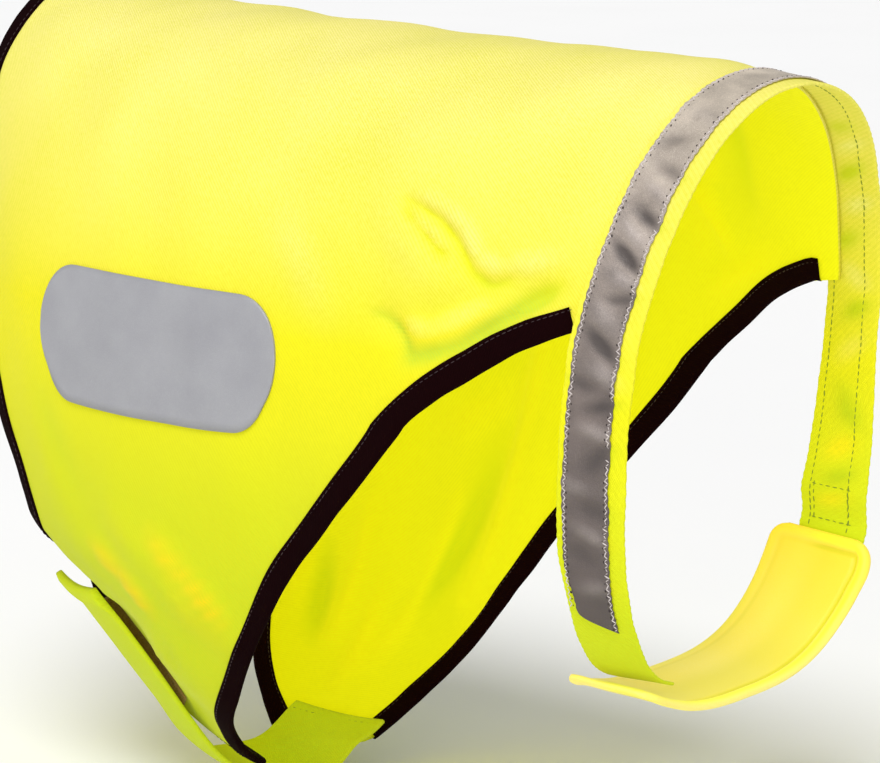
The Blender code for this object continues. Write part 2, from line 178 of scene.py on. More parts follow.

# %% [markdown]
# ## Folds and creases
# Thin cloth on a body never lies flat. The large folds are soft ridges and troughs that the solids
# have too. The creases are the finer ones: sharp ones where the shoulder pushes the cloth up, and
# slack along both flaps. A simulation would put its own folds in its own places, so each one is
# placed one by one, as a run from one place to another with a width and a height. A slow unevenness
# under it all keeps the light from running too clean. The same tables also tell how deep in a fold a
# point lies, which the finishes use to paint shade into the troughs and highlights onto the ridges.

# %% Large folds and fine creases, in millimetres and degrees
FOLD_COLUMNS = ("x0", "angle0", "x1", "angle1", "width", "height")
FOLDS = (
    (-92, -52, -54, -62, 6, -1.6),
    (-54, -62, -30, -65, 6, -1.4),
    (-96, -58, -60, -68, 8, 1.8),
    (-94, -71, -74, -78, 6, -1.4),
    (-80, -75, -14, -64, 9, -3.0),
    (-320, -122, -236, -131, 9, 3.0),
    (-246, -107, -184, -122, 8, 3.0),
    (-40, 18, -46, 66, 16, 3.5),
    (-88, 40, -140, 104, 16, 4.0),
    (-130, 60, -182, 122, 15, -4.0),
    (-180, 84, -222, 150, 15, 4.0),
    (-250, 60, -262, 150, 18, -3.0),
    (-326, -139, -240, -144, 21, -15.0),
    (-265, 179, -215, 179, 14, 13.0),
)
CREASES = (
    (-92, -53, -84, -54, 2.4, -1.2),
    (-84, -54, -72, -56, 2.2, -1.7),
    (-72, -56, -60, -60, 2.4, -2.1),
    (-60, -60, -51, -65, 2.4, -2.2),
    (-51, -65, -42, -67, 2.8, -2.2),
    (-42, -67, -33, -65, 3.0, -1.4),
    (-82, -52, -69, -54, 2.8, 1.1),
    (-69, -54, -58, -57, 3.0, 1.5),
    (-58, -57, -49, -62, 3.2, 1.8),
    (-49, -62, -38, -64, 3.6, 1.7),
    (-38, -64, -14, -61, 5.0, 1.3),
    (-91, -55, -80, -58, 2.2, -1.9),
    (-80, -58, -71, -61, 2.2, -2.4),
    (-71, -61, -64, -63, 2.4, -2.2),
    (-85, -56, -66, -61, 1.9, 1.6),
    (-98, -73, -86, -74, 2.6, -1.2),
    (-86, -74, -79, -76, 2.4, -1.7),
    (-79, -76, -74, -80, 2.4, -1.7),
    (-80, -74, -66, -75, 4.0, 1.4),
    (-66, -75, -38, -69, 5.0, 1.6),
    (-77, -80, -52, -77, 4.5, -2.2),
    (-52, -77, -30, -71, 4.5, -3.0),
    (-30, -71, -12, -66, 4.5, -3.4),
    (-318, -128, -262, -130, 17.0, -5.5),
    (-276, -126, -244, -133, 14.0, -8.0),
    (-266, -113, -248, -115, 4.5, 1.9),
    (-248, -115, -230, -119, 4.0, 2.4),
    (-222, -107, -205, -111, 4.0, 2.1),
    (-205, -111, -185, -118, 3.5, 2.4),
    (-236, -110, -214, -116, 6.0, -1.1),
    (-231, -125, -221, -131, 2.2, -1.0),
    (-300, -92, -270, -106, 9.0, -1.0),
    (-150, -60, -120, -74, 9.0, 0.9),
    (-30, 24, -36, 60, 6.0, 1.2),
    (-48, 34, -70, 72, 6.0, -1.4),
    (-62, 62, -52, 70, 3.4, -2.0),
    (-80, 52, -62, 62, 3.2, -1.7),
    (-78, 50, -56, 58, 4.0, 1.6),
    (-66, 78, -24, 69, 5.0, -2.0),
    (-104, 52, -150, 108, 6.0, 1.8),
    (-118, 76, -146, 112, 5.0, -1.8),
    (-160, 82, -200, 128, 6.0, -2.4),
    (-196, 107, -232, 136, 6.5, 2.4),
    (-228, 102, -174, 95, 5.0, -2.2),
    (-214, 112, -240, 150, 4.5, -2.0),
    (-246, 132, -246, 158, 5.0, -2.4),
    (-279, 130, -270, 152, 7.0, 2.6),
    (-262, 118, -262, 150, 4.5, -1.6),
    (-292, 112, -290, 146, 6.0, -1.8),
    (-330, 50, -318, 92, 9.0, 1.0),
)
GIRTH_PER_DEGREE = 2.4 * MM
RUN_END_HEIGHT = 0.35
BROAD_SHADE_DEPTH = 10.0 * MM
BROAD_SHADE_LIMIT = 0.35
FINE_SHADE_DEPTH = 2.0 * MM
WAVE_COLUMNS = ("across_x", "across_girth", "turn", "height")
WAVES = (
    (61.0, 240.0, 0.4, 0.35),
    (-96.0, 118.0, 1.9, 0.40),
    (140.0, -74.0, 3.1, 0.30),
    (43.0, 88.0, 5.0, 0.16),
    (-38.0, 52.0, 2.2, 0.12),
)


def run_lift(rows, x, angle):
    """How far a table of folds raises or sinks the cloth at x and angle. A run is highest in its
    middle and fades towards its ends."""
    lift = np.zeros_like(x)
    place = np.stack([x, angle * GIRTH_PER_DEGREE], axis=-1)
    for x0, angle0, x1, angle1, width, height in rows:
        start = np.array([x0 * MM, angle0 * GIRTH_PER_DEGREE])
        run = np.array([x1 * MM, angle1 * GIRTH_PER_DEGREE]) - start
        t = np.clip((place - start) @ run / (run @ run), 0, 1)
        gap = np.linalg.norm(place - start - t[..., None] * run, axis=-1)
        taper = RUN_END_HEIGHT + (1 - RUN_END_HEIGHT) * np.sin(math.pi * t)
        lift = lift + height * MM * taper * np.exp(-((gap / (width * MM)) ** 2))
    return lift


def wave_lift(x, angle):
    """The slow unevenness of the cloth: a few long waves, each with its own direction."""
    lift = np.zeros_like(x)
    for across_x, across_girth, turn, height in WAVES:
        phase = x / (across_x * MM) + angle * GIRTH_PER_DEGREE / (across_girth * MM)
        lift = lift + height * MM * np.sin(2 * math.pi * phase + turn)
    return lift


def folded_form(x, angle):
    """The form with the large folds alone."""
    return bare_form(x, angle) + run_lift(FOLDS, x, angle)[..., None] * outward(bare_form, x, angle)


def shade_of(x, angle):
    """From -1 in the deepest troughs to 1 on the sharpest ridges, as seen from outside. The finishes
    paint shade in the troughs and a highlight on the ridges from it.
    """
    broad = run_lift(FOLDS, x, angle) / BROAD_SHADE_DEPTH
    broad = np.clip(broad, -BROAD_SHADE_LIMIT, BROAD_SHADE_LIMIT)
    fine = run_lift(CREASES, x, angle) / FINE_SHADE_DEPTH
    return np.clip(broad + fine, -1, 1)


def draped_form(x, angle):
    """The form with the large folds, the fine creases and the unevenness."""
    lift = run_lift(FOLDS, x, angle) + run_lift(CREASES, x, angle) + wave_lift(x, angle)
    return bare_form(x, angle) + lift[..., None] * outward(bare_form, x, angle)


def on_form(x, angle, lift, surface=bare_form):
    """Points at x and angle, moved out from the surface by the lift."""
    x, angle, lift = np.broadcast_arrays(np.asarray(x, float), np.asarray(angle, float), lift)
    return surface(x, angle) + lift[..., None] * outward(surface, x, angle)


print(len(FOLDS), "folds and", len(CREASES), "creases, each with", FOLD_COLUMNS)
print(len(WAVES), "waves, each with", WAVE_COLUMNS)

# %% [markdown]
# ## The flat pattern
# A maker cuts the saddle flat, so its edges are drawn flat: x along the back and the girth down from
# the ridge. Laying it down turns it a little round the trunk, because the photographed vest has
# slipped down on the dog's left, and draws the near tip rearwards where the strap pulls.

# %% The edges of the cut
CLOTH_WALL = 1.5 * MM
BAND_WIDTH = 30.0 * MM
SEAM_ALLOWANCE = 9.0 * MM
TIP_RADIUS = 13.0 * MM
CORNER_ANGLE = 71.5
ROLL = 1.5
ROLL_START = -10.0 * MM
ROLL_FULL = -90.0 * MM
PULL = 7.0 * MM
PULL_START = 113.0
PULL_FULL = 141.0
LEG_EDGE_COLUMNS = ("angle", "x")
LEG_EDGE = (
    (71.5, 1),
    (75.5, -22),
    (82, -47),
    (89.5, -74),
    (97, -96),
    (104.5, -119),
    (113.5, -147),
    (124.5, -170),
    (135.5, -187),
    (144.5, -200),
    (157.5, -208),
    (170, -211),
)
REAR_EDGE_COLUMNS = ("angle", "x")
REAR_EDGE = (
    (0, -374),
    (20, -377),
    (42, -380),
    (60, -370),
    (80, -354),
    (98, -340),
    (117, -322),
    (140, -310),
    (155, -297),
    (165, -283),
    (170.5, -270),
    (173, -260),
    (175, -246),
)
NEAR_TIP = (170.0, 167.0)
FAR_TIP = (175.0, 167.0)
BAND_COLUMNS = ("angle", "x", "lift")
BAND_LINE = (
    (-156, 8, -4),
    (-147, 8, 0),
    (-139, 8, 2),
    (-125, 8, 2),
    (-100, 8, 0),
    (-75, 12, 0),
    (-50, 20, 0),
    (-25, 28, 0),
    (0, 34, 0),
    (25, 35, 0),
    (50, 27, 0),
    (75, 18, 0),
    (100, 11, 0),
    (122, 8, 0),
)


def ease(share):
    """A smooth step from 0 to 1."""
    share = np.clip(share, 0, 1)
    return share * share * (3 - 2 * share)


def laid(flat):
    """The x and angle at which points of the flat pattern lie on the form."""
    x, angle = flat[..., 0], flat[..., 1] / GIRTH_PER_DEGREE
    pull = PULL * ease((-angle - PULL_START) / (PULL_FULL - PULL_START))
    return x - pull, angle + ROLL * ease((x - ROLL_START) / (ROLL_FULL - ROLL_START))


def on_saddle(flat, lift):
    """Points of the flat pattern on the draped saddle, at a lift from its inner face."""
    x, angle = laid(flat)
    return on_form(x, angle, lift, draped_form)


def band_line(name, angle):
    """The neck band's centre line, or its lift, at an angle."""
    line = table(BAND_COLUMNS, BAND_LINE)
    return smooth(line["angle"], line[name], angle) * MM


def edge_points(columns, rows, last_angle):
    """Points on one side's edge in the flat pattern, from its first row to the last angle."""
    edge = table(columns, rows)
    angle = np.linspace(edge["angle"][0], last_angle, 160)
    return np.stack([smooth(edge["angle"], edge["x"], angle) * MM, angle * GIRTH_PER_DEGREE], axis=-1)


def lengths_along(points):
    """The distance along a polyline, from its start to each point."""
    return np.concatenate([[0], np.cumsum(np.linalg.norm(np.diff(points, axis=0), axis=1))])


def evenly(points, step):
    """Points at even distances of about one step along a polyline."""
    lengths = lengths_along(points)
    count = max(2, round(lengths[-1] / step) + 1)
    places = np.linspace(0, lengths[-1], count)
    return np.stack([np.interp(places, lengths, points[:, k]) for k in range(points.shape[1])], axis=-1)


def rounded(points, radius):
    """A polyline with its corners rounded, by averaging it over a window as wide as the radius."""
    fine = evenly(points, 1.0 * MM)
    reach = int(radius / MM / 2)
    kernel = np.hanning(2 * reach + 3)[1:-1]
    kernel /= kernel.sum()
    before = 2 * fine[0] - fine[reach:0:-1]
    after = 2 * fine[-1] - fine[-2:-reach - 2:-1]
    padded = np.concatenate([before, fine, after])
    return np.stack([np.convolve(padded[:, k], kernel, "valid") for k in range(2)], axis=-1)


print("leg edge of", len(LEG_EDGE), "places, rear edge of", len(REAR_EDGE), "and band of", len(BAND_LINE))

# %% One flap's whole edge
EDGE_STEP = 2.5 * MM


def neck_x(angle):
    """The saddle's front edge under the band, at an angle."""
    return band_line("x", angle) - BAND_WIDTH / 2 + SEAM_ALLOWANCE


def flap_edge(tip, side):
    """One flap's edge from the ridge at the rear round the tip to the neck's corner, with every
    girth above zero."""
    rear = edge_points(REAR_EDGE_COLUMNS, REAR_EDGE, tip[0])
    leg = edge_points(LEG_EDGE_COLUMNS, LEG_EDGE, tip[1])
    run = rounded(np.concatenate([rear, leg[::-1]]), 2 * TIP_RADIUS)
    run[0] = (rear[0][0], 0.0)
    run[-1] = (neck_x(side * CORNER_ANGLE), CORNER_ANGLE * GIRTH_PER_DEGREE)
    return evenly(run, EDGE_STEP)


EDGES = {-1: flap_edge(NEAR_TIP, -1), 1: flap_edge(FAR_TIP, 1)}
for side, edge in EDGES.items():
    print("edge of side", side, "is", round(lengths_along(edge)[-1], 3), "m long")

# %% [markdown]
# ## From points to pieces
# Two helpers make nearly every piece. A sheet is a grid of points that Solidify later gives its
# thickness. A ribbon is a small closed section carried along a line, which suits webbing, tape,
# binding and padding, because the section can have rounded edges and a raised rim. Both keep a UV map
# in metres of real cloth, so that threads and weave come out at their true size.

# %% Sheets and ribbons
def link_mesh(name, verts, faces, uv, material, shade=None):
    """An object from vertices and faces, with a UV place for each vertex. The shade, where it is
    given, says how deep in a fold each vertex lies, and the finishes paint shade and highlight from it."""
    mesh = bpy.data.meshes.new(name)
    mesh.from_pydata(verts.tolist(), [], faces)
    layer = mesh.uv_layers.new(name="cloth")
    corner = np.zeros(len(mesh.loops), int)
    mesh.loops.foreach_get("vertex_index", corner)
    layer.data.foreach_set("uv", uv[corner].astype(np.float32).ravel())
    if shade is not None:
        depth = mesh.attributes.new("shade", "FLOAT", "POINT")
        depth.data.foreach_set("value", shade.astype(np.float32).ravel())
    mesh.materials.append(material)
    mesh.shade_smooth()
    piece = bpy.data.objects.new(name, mesh)
    bpy.context.scene.collection.objects.link(piece)
    return piece


def grid_faces(rows, columns):
    """The quads of a grid of points."""
    a = (np.arange(rows - 1)[:, None] * columns + np.arange(columns - 1)[None, :]).ravel()
    return np.stack([a, a + 1, a + columns + 1, a + columns], axis=-1).tolist()


def make_sheet(name, points, uv, wall, material, shade):
    """Cloth from a grid of points on its mid-surface."""
    rows, columns = points.shape[:2]
    faces = grid_faces(rows, columns)
    piece = link_mesh(name, points.reshape(-1, 3), faces, uv.reshape(-1, 2), material, shade)
    shell = piece.modifiers.new("wall", "SOLIDIFY")
    shell.thickness = wall
    shell.offset = 0.0
    return piece


def make_ribbon(name, points, uv, material, shade=None):
    """A closed ribbon: points[station, k] go round its section, first along the outer face and then
    back along the inner face, with as many points on both."""
    stations, around = points.shape[:2]
    half = around // 2
    base = (np.arange(stations - 1) * around)[:, None]
    k = np.arange(around)[None, :]
    after = (k + 1) % around
    sides = np.stack([base + k, base + after, base + around + after, base + around + k], axis=-1)
    faces = sides.reshape(-1, 4).tolist()
    last = (stations - 1) * around
    for i in range(half - 1):
        cap = [i, around - 1 - i, around - 2 - i, i + 1]
        faces.append(cap)
        faces.append([last + j for j in reversed(cap)])
    verts = points.reshape(-1, 3)
    corners = verts[sides.reshape(-1, 4)]
    volume = (np.cross(corners[:, 0], corners[:, 1]) * corners[:, 2]).sum()
    volume += (np.cross(corners[:, 0], corners[:, 2]) * corners[:, 3]).sum()
    if volume < 0:
        faces = [face[::-1] for face in faces]
    return link_mesh(name, verts, faces, uv.reshape(-1, 2), material, shade)


def flat_section(width, wall, steps, edge_round=0.45):
    """A strap's section as (across, lift) pairs: an outer and an inner face with rounded edges. The
    shape runs from minus half to half of the width."""
    turn = np.linspace(0, math.pi / 2, 4)[:-1]
    reach = wall * edge_round
    side = width / 2 - reach + reach * np.cos(turn)
    rise = (wall / 2 - reach) + reach * np.sin(turn)
    middle = np.linspace(width / 2 - reach, -width / 2 + reach, steps)
    across = np.concatenate([side, middle, -side[::-1]])
    lift = np.concatenate([rise, np.full(steps, wall / 2), rise[::-1]])
    outer = np.stack([across, lift], axis=-1)
    inner = np.stack([across, -lift], axis=-1)[::-1]
    return np.concatenate([outer, inner])


print("helpers ready")

# %% [markdown]
# ## Thread and weave
# All the cloth is woven, so one shader group makes every weave. It reads the UV map in metres and
# gives a height for the bump and a tone for the colour: threads that pass over and under, and the
# diagonal rib of a twill. Each material sets its own thread and how strong the rib is. The group is
# the cheapest way to keep the panel, its reverse, the webbing and the binding of one family.

# %% A helper for wiring nodes
def wire(tree, kind, inputs, **settings):
    """Adds a node, sets it and links or fills its inputs by name or number."""
    node = tree.nodes.new(kind)
    for key, value in settings.items():
        setattr(node, key, value)
    for key, value in inputs.items():
        if isinstance(value, bpy.types.NodeSocket):
            tree.links.new(value, node.inputs[key])
        else:
            node.inputs[key].default_value = value
    return node


def maths(tree, operation, *values):
    """The output of a Math node on values or sockets."""
    return wire(tree, "ShaderNodeMath", dict(enumerate(values)), operation=operation).outputs[0]


def add_socket(tree, name, direction, kind, value=None):
    """A named socket on a node group."""
    socket = tree.interface.new_socket(name=name, in_out=direction, socket_type=kind)
    if value is not None:
        socket.default_value = value


print("wiring helpers ready")

# %% The weave group
RIB_THREADS = 3
SLUB_SCALE = 420.0
SLUB_SHARE = 0.4


def make_weave_group():
    """Threads over and under, with a diagonal rib: UV in metres in, a height and a tone out."""
    tree = bpy.data.node_groups.new("woven_threads", "ShaderNodeTree")
    add_socket(tree, "Cloth", "INPUT", "NodeSocketVector")
    add_socket(tree, "Thread", "INPUT", "NodeSocketFloat", 0.5 * MM)
    add_socket(tree, "Rib", "INPUT", "NodeSocketFloat", 0.5)
    add_socket(tree, "Height", "OUTPUT", "NodeSocketFloat")
    add_socket(tree, "Tone", "OUTPUT", "NodeSocketFloat")
    into = tree.nodes.new("NodeGroupInput")
    out = tree.nodes.new("NodeGroupOutput")
    parts = wire(tree, "ShaderNodeSeparateXYZ", {0: into.outputs["Cloth"]})
    u = maths(tree, "DIVIDE", parts.outputs["X"], into.outputs["Thread"])
    v = maths(tree, "DIVIDE", parts.outputs["Y"], into.outputs["Thread"])
    warp = maths(tree, "SINE", maths(tree, "MULTIPLY", u, 2 * math.pi))
    weft = maths(tree, "SINE", maths(tree, "MULTIPLY", v, 2 * math.pi))
    plain = maths(tree, "MULTIPLY", warp, weft)
    diagonal = maths(tree, "MULTIPLY", maths(tree, "ADD", u, v), 2 * math.pi / RIB_THREADS)
    rib = maths(tree, "SINE", diagonal)
    ribbed = maths(tree, "MULTIPLY", rib, into.outputs["Rib"])
    height = maths(tree, "MULTIPLY_ADD", maths(tree, "ADD", plain, ribbed), 0.25, 0.5)
    slub = wire(tree, "ShaderNodeTexNoise", {
        "Vector": into.outputs["Cloth"], "Scale": SLUB_SCALE, "Detail": 3.0,
    })
    thick_places = maths(tree, "MULTIPLY", slub.outputs["Fac"], SLUB_SHARE)
    tone = maths(tree, "ADD", maths(tree, "MULTIPLY", height, 1 - SLUB_SHARE), thick_places)
    tree.links.new(height, out.inputs["Height"])
    tree.links.new(tone, out.inputs["Tone"])
    return tree


WEAVE = make_weave_group()
print("group", WEAVE.name, "has", len(WEAVE.nodes), "nodes")

# %% [markdown]
# ## The cloth's finish
# Fluorescent cloth gives back more light than falls on it, with a green cast that shows most in its
# shadows. A painted glow stands in for that: an emission of greener yellow that shines whatever light
# falls, strongest on the reverse and the webbing, where it lightens their shade. The pale bloom on
# the back is a soft sheen together with a painted highlight. Flat colour would look like plastic, so
# the weave changes both the tone and the bump, and a slow noise drifts the colour a little over the
# panel. Light and shade are also painted into the colour: pale on the back, darker and greener low
# down and in a trough, and warmer on a ridge. Two masks give that, the height and the shade
# attribute, each through a short table of colours. Lights alone would not do it, because they only
# make one colour brighter or darker.

# %% Colours between colours
MIX_COLOUR_SOCKETS = (6, 7)
MIX_RESULT_SOCKET = 2
# How strongly the finishes paint shade in the troughs and a highlight on the ridges.
TROUGH_SHADE_STRENGTH = 0.9
RIDGE_HIGHLIGHT_STRENGTH = 0.8


def mix_colours(tree, share, first, second):
    """The colour between two, at a share from 0 to 1."""
    node = tree.nodes.new("ShaderNodeMix")
    node.data_type = "RGBA"
    tree.links.new(share, node.inputs["Factor"])
    for key, colour in zip(MIX_COLOUR_SOCKETS, (first, second)):
        if isinstance(colour, bpy.types.NodeSocket):
            tree.links.new(colour, node.inputs[key])
        else:
            node.inputs[key].default_value = (*colour, 1.0)
    return node.outputs[MIX_RESULT_SOCKET]


def fold_shade_and_highlight(tree, colour, trough, ridge, side=1.0):
    """The colour with painted shade in its folds and a painted highlight on their ridges: drawn towards
    the trough's colour in the folds and towards the ridge's on them. The side is -1 for the cloth's
    inner face, where the folds turn round."""
    depth = wire(tree, "ShaderNodeAttribute", {}, attribute_name="shade").outputs["Fac"]
    sunk = maths(tree, "MULTIPLY", depth, -TROUGH_SHADE_STRENGTH * side)
    raised = maths(tree, "MULTIPLY", depth, RIDGE_HIGHLIGHT_STRENGTH * side)
    sunk.node.use_clamp = True
    raised.node.use_clamp = True
    return mix_colours(tree, raised, mix_colours(tree, sunk, colour, trough), ridge)


def blank_material(name, colour, roughness):
    """A material, its tree and its Principled shader."""
    material = bpy.data.materials.new(name)
    material.use_nodes = True
    material.diffuse_color = (*colour, 1.0)
    tree = material.node_tree
    shader = tree.nodes["Principled BSDF"]
    shader.inputs["Roughness"].default_value = roughness
    return material, tree, shader


print("troughs tinted by", TROUGH_SHADE_STRENGTH, "and ridges by", RIDGE_HIGHLIGHT_STRENGTH)

# %% Painted light and shade by height, in millimetres and linear shares
PAINTED_LIGHT_COLUMNS = ("height", "red", "green", "blue")
# Painted light and shade on the panel: pale and bluish on the back, darker and greener low down.
CLOTH_PAINTED_LIGHT = (
    (-245, 0.46, 0.62, 0.010),
    (-195, 0.58, 0.66, 0.008),
    (-150, 0.78, 0.73, 0.006),
    (-115, 0.88, 0.76, 0.006),
    (-60, 0.94, 0.80, 0.180),
    (0, 0.95, 0.82, 0.350),
)
# Painted shade in the panel's troughs, darkest green in the fold above the binding.
TROUGH_PAINTED_SHADE = (
    (-245, 0.44, 0.60, 0.020),
    (-150, 0.42, 0.60, 0.030),
    (-94, 0.38, 0.60, 0.050),
    (-80, 0.72, 0.72, 0.003),
    (0, 0.82, 0.80, 0.010),
)
# The reverse, painted paler than the outer face, as light inside the vest.
REVERSE_PAINTED_LIGHT = (
    (-300, 0.90, 0.840, 0.006),
    (0, 0.86, 0.840, 0.008),
)
# Painted highlights on the panel's ridges: pale and bluish high up, warm lower down.
RIDGE_PAINTED_HIGHLIGHT = (
    (-245, 1.0, 0.60, 0.006),
    (-150, 1.0, 0.80, 0.010),
    (-75, 0.98, 0.90, 0.420),
    (0, 0.98, 0.90, 0.420),
)
# Painted highlights on the ridges of the reverse, and painted shade in its troughs.
REVERSE_RIDGE_PAINTED_HIGHLIGHT = (
    (-290, 1.0, 0.84, 0.004),
    (0, 1.0, 0.88, 0.006),
)
REVERSE_TROUGH_PAINTED_SHADE = (
    (-290, 0.46, 0.58, 0.004),
    (0, 0.46, 0.62, 0.006),
)
# Painted shade in the troughs of the webbing's puckers.
WEBBING_TROUGH_PAINTED_SHADE = (
    (-290, 0.30, 0.48, 0.010),
    (0, 0.42, 0.56, 0.010),
)
# Painted light and shade on the webbing: pale and bluish high up, darker and greener low down.
WEBBING_PAINTED_LIGHT = (
    (-290, 0.38, 0.58, 0.020),
    (-215, 0.50, 0.66, 0.012),
    (-130, 0.88, 0.80, 0.010),
    (-60, 0.92, 0.77, 0.150),
    (20, 0.94, 0.80, 0.330),
)
# A painted highlight on the pad: paler and bluish at its low end, which faces the light.
PAD_PAINTED_LIGHT = (
    (-262, 0.97, 0.86, 0.430),
    (-240, 0.97, 0.82, 0.280),
    (-205, 0.97, 0.64, 0.040),
)
# Painted light and shade on the tape: near black low down, pale grey high up.
TAPE_PAINTED_LIGHT = (
    (-290, 0.060, 0.046, 0.044),
    (-220, 0.105, 0.082, 0.076),
    (-120, 0.23, 0.185, 0.165),
    (-60, 0.52, 0.440, 0.380),
    (0, 0.84, 0.730, 0.590),
)


def painted_light_by_height(tree, place, rows):
    """Light and shade painted into a colour by the height, from a table in millimetres."""
    light_and_shade_rows = table(PAINTED_LIGHT_COLUMNS, rows)
    low, high = light_and_shade_rows["height"][0], light_and_shade_rows["height"][-1]
    height = wire(tree, "ShaderNodeSeparateXYZ", {0: place}).outputs["Z"]
    share = wire(tree, "ShaderNodeMapRange", {
        "Value": height, "From Min": low * MM, "From Max": high * MM,
    })
    ramp = wire(tree, "ShaderNodeValToRGB", {0: share.outputs["Result"]})
    stops = ramp.color_ramp.elements
    while len(stops) < len(rows):
        stops.new(0.5)
    for stop, row in zip(stops, rows):
        stop.position = (row[0] - low) / (high - low)
        stop.color = (*row[1:], 1.0)
    return ramp.outputs["Color"]


print("fading tables of", PAINTED_LIGHT_COLUMNS)

# %% One recipe for woven finishes
DRIFT_SCALE = 14.0
DRIFT_STRENGTH = 0.5
LUMP_SCALE = 160.0
LUMP_STRENGTH = 0.6
WEAVE_DEPTH = 0.25 * MM
SHEEN_ROUGHNESS = 0.35
SHEEN_TINT = (1.0, 1.0, 0.75, 1.0)


def woven_finish(name, light, dark, thread, rib, bump, roughness, glow=None, sheen=0.0, light_and_shade_rows=None,
                 troughs=None, side=1.0, specular=0.2):
    """A woven material between two colours: light on the threads and dark between them. With a table
    of painted light, the light colour changes with the height, as light and shade painted by height.
    With one for troughs, the folds get painted shade and their ridges a painted highlight."""
    material, tree, shader = blank_material(name, light, roughness)
    cloth = wire(tree, "ShaderNodeUVMap", {}, uv_map="cloth").outputs[0]
    weave = wire(tree, "ShaderNodeGroup", {}, node_tree=WEAVE)
    tree.links.new(cloth, weave.inputs["Cloth"])
    weave.inputs["Thread"].default_value = thread
    weave.inputs["Rib"].default_value = rib
    place = wire(tree, "ShaderNodeTexCoord", {}).outputs["Object"]
    slow = wire(tree, "ShaderNodeTexNoise", {"Vector": place, "Scale": DRIFT_SCALE, "Detail": 2.0})
    share = maths(tree, "MULTIPLY_ADD", slow.outputs["Fac"], DRIFT_STRENGTH, -DRIFT_STRENGTH / 2)
    share = maths(tree, "ADD", weave.outputs["Tone"], share)
    if light_and_shade_rows:
        light = painted_light_by_height(tree, place, light_and_shade_rows)
    # Painted shade in the troughs and a painted highlight on the ridges.
    if troughs:
        ridges = RIDGE_PAINTED_HIGHLIGHT if side > 0 else REVERSE_RIDGE_PAINTED_HIGHLIGHT
        sunk, raised = (painted_light_by_height(tree, place, rows) for rows in (troughs, ridges))
        light = fold_shade_and_highlight(tree, light, sunk, raised, side)
    colour = mix_colours(tree, share, dark, light)
    tree.links.new(colour, shader.inputs["Base Color"])
    lumps = wire(tree, "ShaderNodeTexNoise", {"Vector": place, "Scale": LUMP_SCALE, "Detail": 2.0})
    high = maths(tree, "MULTIPLY_ADD", lumps.outputs["Fac"], LUMP_STRENGTH, weave.outputs["Height"])
    relief = wire(tree, "ShaderNodeBump", {"Height": high, "Strength": bump, "Distance": WEAVE_DEPTH})
    tree.links.new(relief.outputs["Normal"], shader.inputs["Normal"])
    shader.inputs["Specular IOR Level"].default_value = specular
    if sheen:
        shader.inputs["Sheen Weight"].default_value = sheen
        shader.inputs["Sheen Roughness"].default_value = SHEEN_ROUGHNESS
        shader.inputs["Sheen Tint"].default_value = SHEEN_TINT
    # The glow is emission: painted light that shines whatever lamps fall on the piece.
    if glow:
        shader.inputs["Emission Color"].default_value = (*glow[0], 1.0)
        shader.inputs["Emission Strength"].default_value = glow[1]
    return material


print("the weave's bump is", WEAVE_DEPTH, "m deep")

# %% The cloth, its reverse, the webbing and the binding
# The emission colour: partly the cloth's fluorescence, partly a painted glow that lightens its shade.
FLUORESCENT_PAINTED_GLOW = (0.74, 0.74, 0.0)
YELLOW = (0.89, 0.82, 0.012)
yellow_cloth = woven_finish(
    "yellow_cloth", YELLOW, (0.62, 0.62, 0.003),
    thread=0.6 * MM, rib=1.0, bump=0.45, roughness=0.78,
    glow=(FLUORESCENT_PAINTED_GLOW, 0.04), sheen=0.12, light_and_shade_rows=CLOTH_PAINTED_LIGHT, troughs=TROUGH_PAINTED_SHADE,
)
# The reverse is painted paler and glows most, as painted light inside the vest.
yellow_reverse = woven_finish(
    "yellow_reverse", YELLOW, (0.66, 0.66, 0.002),
    thread=0.6 * MM, rib=0.8, bump=0.45, roughness=0.85,
    glow=(FLUORESCENT_PAINTED_GLOW, 0.30), sheen=0.05, light_and_shade_rows=REVERSE_PAINTED_LIGHT, troughs=REVERSE_TROUGH_PAINTED_SHADE,
    side=-1.0,
)
# The webbing glows more than the panel, a painted light on its shaded inner face.
yellow_webbing = woven_finish(
    "yellow_webbing", YELLOW, (0.50, 0.52, 0.003),
    thread=1.1 * MM, rib=0.4, bump=0.9, roughness=0.8,
    glow=(FLUORESCENT_PAINTED_GLOW, 0.17), sheen=0.05, light_and_shade_rows=WEBBING_PAINTED_LIGHT, troughs=WEBBING_TROUGH_PAINTED_SHADE,
)
black_binding = woven_finish(
    "black_binding", (0.009, 0.0006, 0.0012), (0.003, 0.0002, 0.0004),
    thread=0.45 * MM, rib=1.0, bump=0.5, roughness=0.95, specular=0.04,
)
print("cloth, webbing and binding finishes made")

# %% [markdown]
# ## Silver film, foam, pile and thread
# Reflective film is a coat of tiny glass beads on cloth. They shine straight back at a lamp, and from
# anywhere else the film is a dull grey, so plain metal would look wrong. A fine cell pattern makes
# the beads, and a slow noise rumples the film and wears it. Foam, pile and thread have no weave that
# shows: one noise makes their grain and a slower one drifts their colour.

# %% Silver tape and silver patch
# A painted highlight on the ridges of the tape's puckers.
TAPE_RIDGE_HIGHLIGHT = (0.46, 0.40, 0.37)
WEAR_SCALE = 55.0
WEAR_STRENGTH = 0.25
WEAR_MIDDLE = 0.12
BEAD_STRENGTH = 0.35
BEAD_DARKENING = 0.1
BEAD_DEPTH = 0.12 * MM


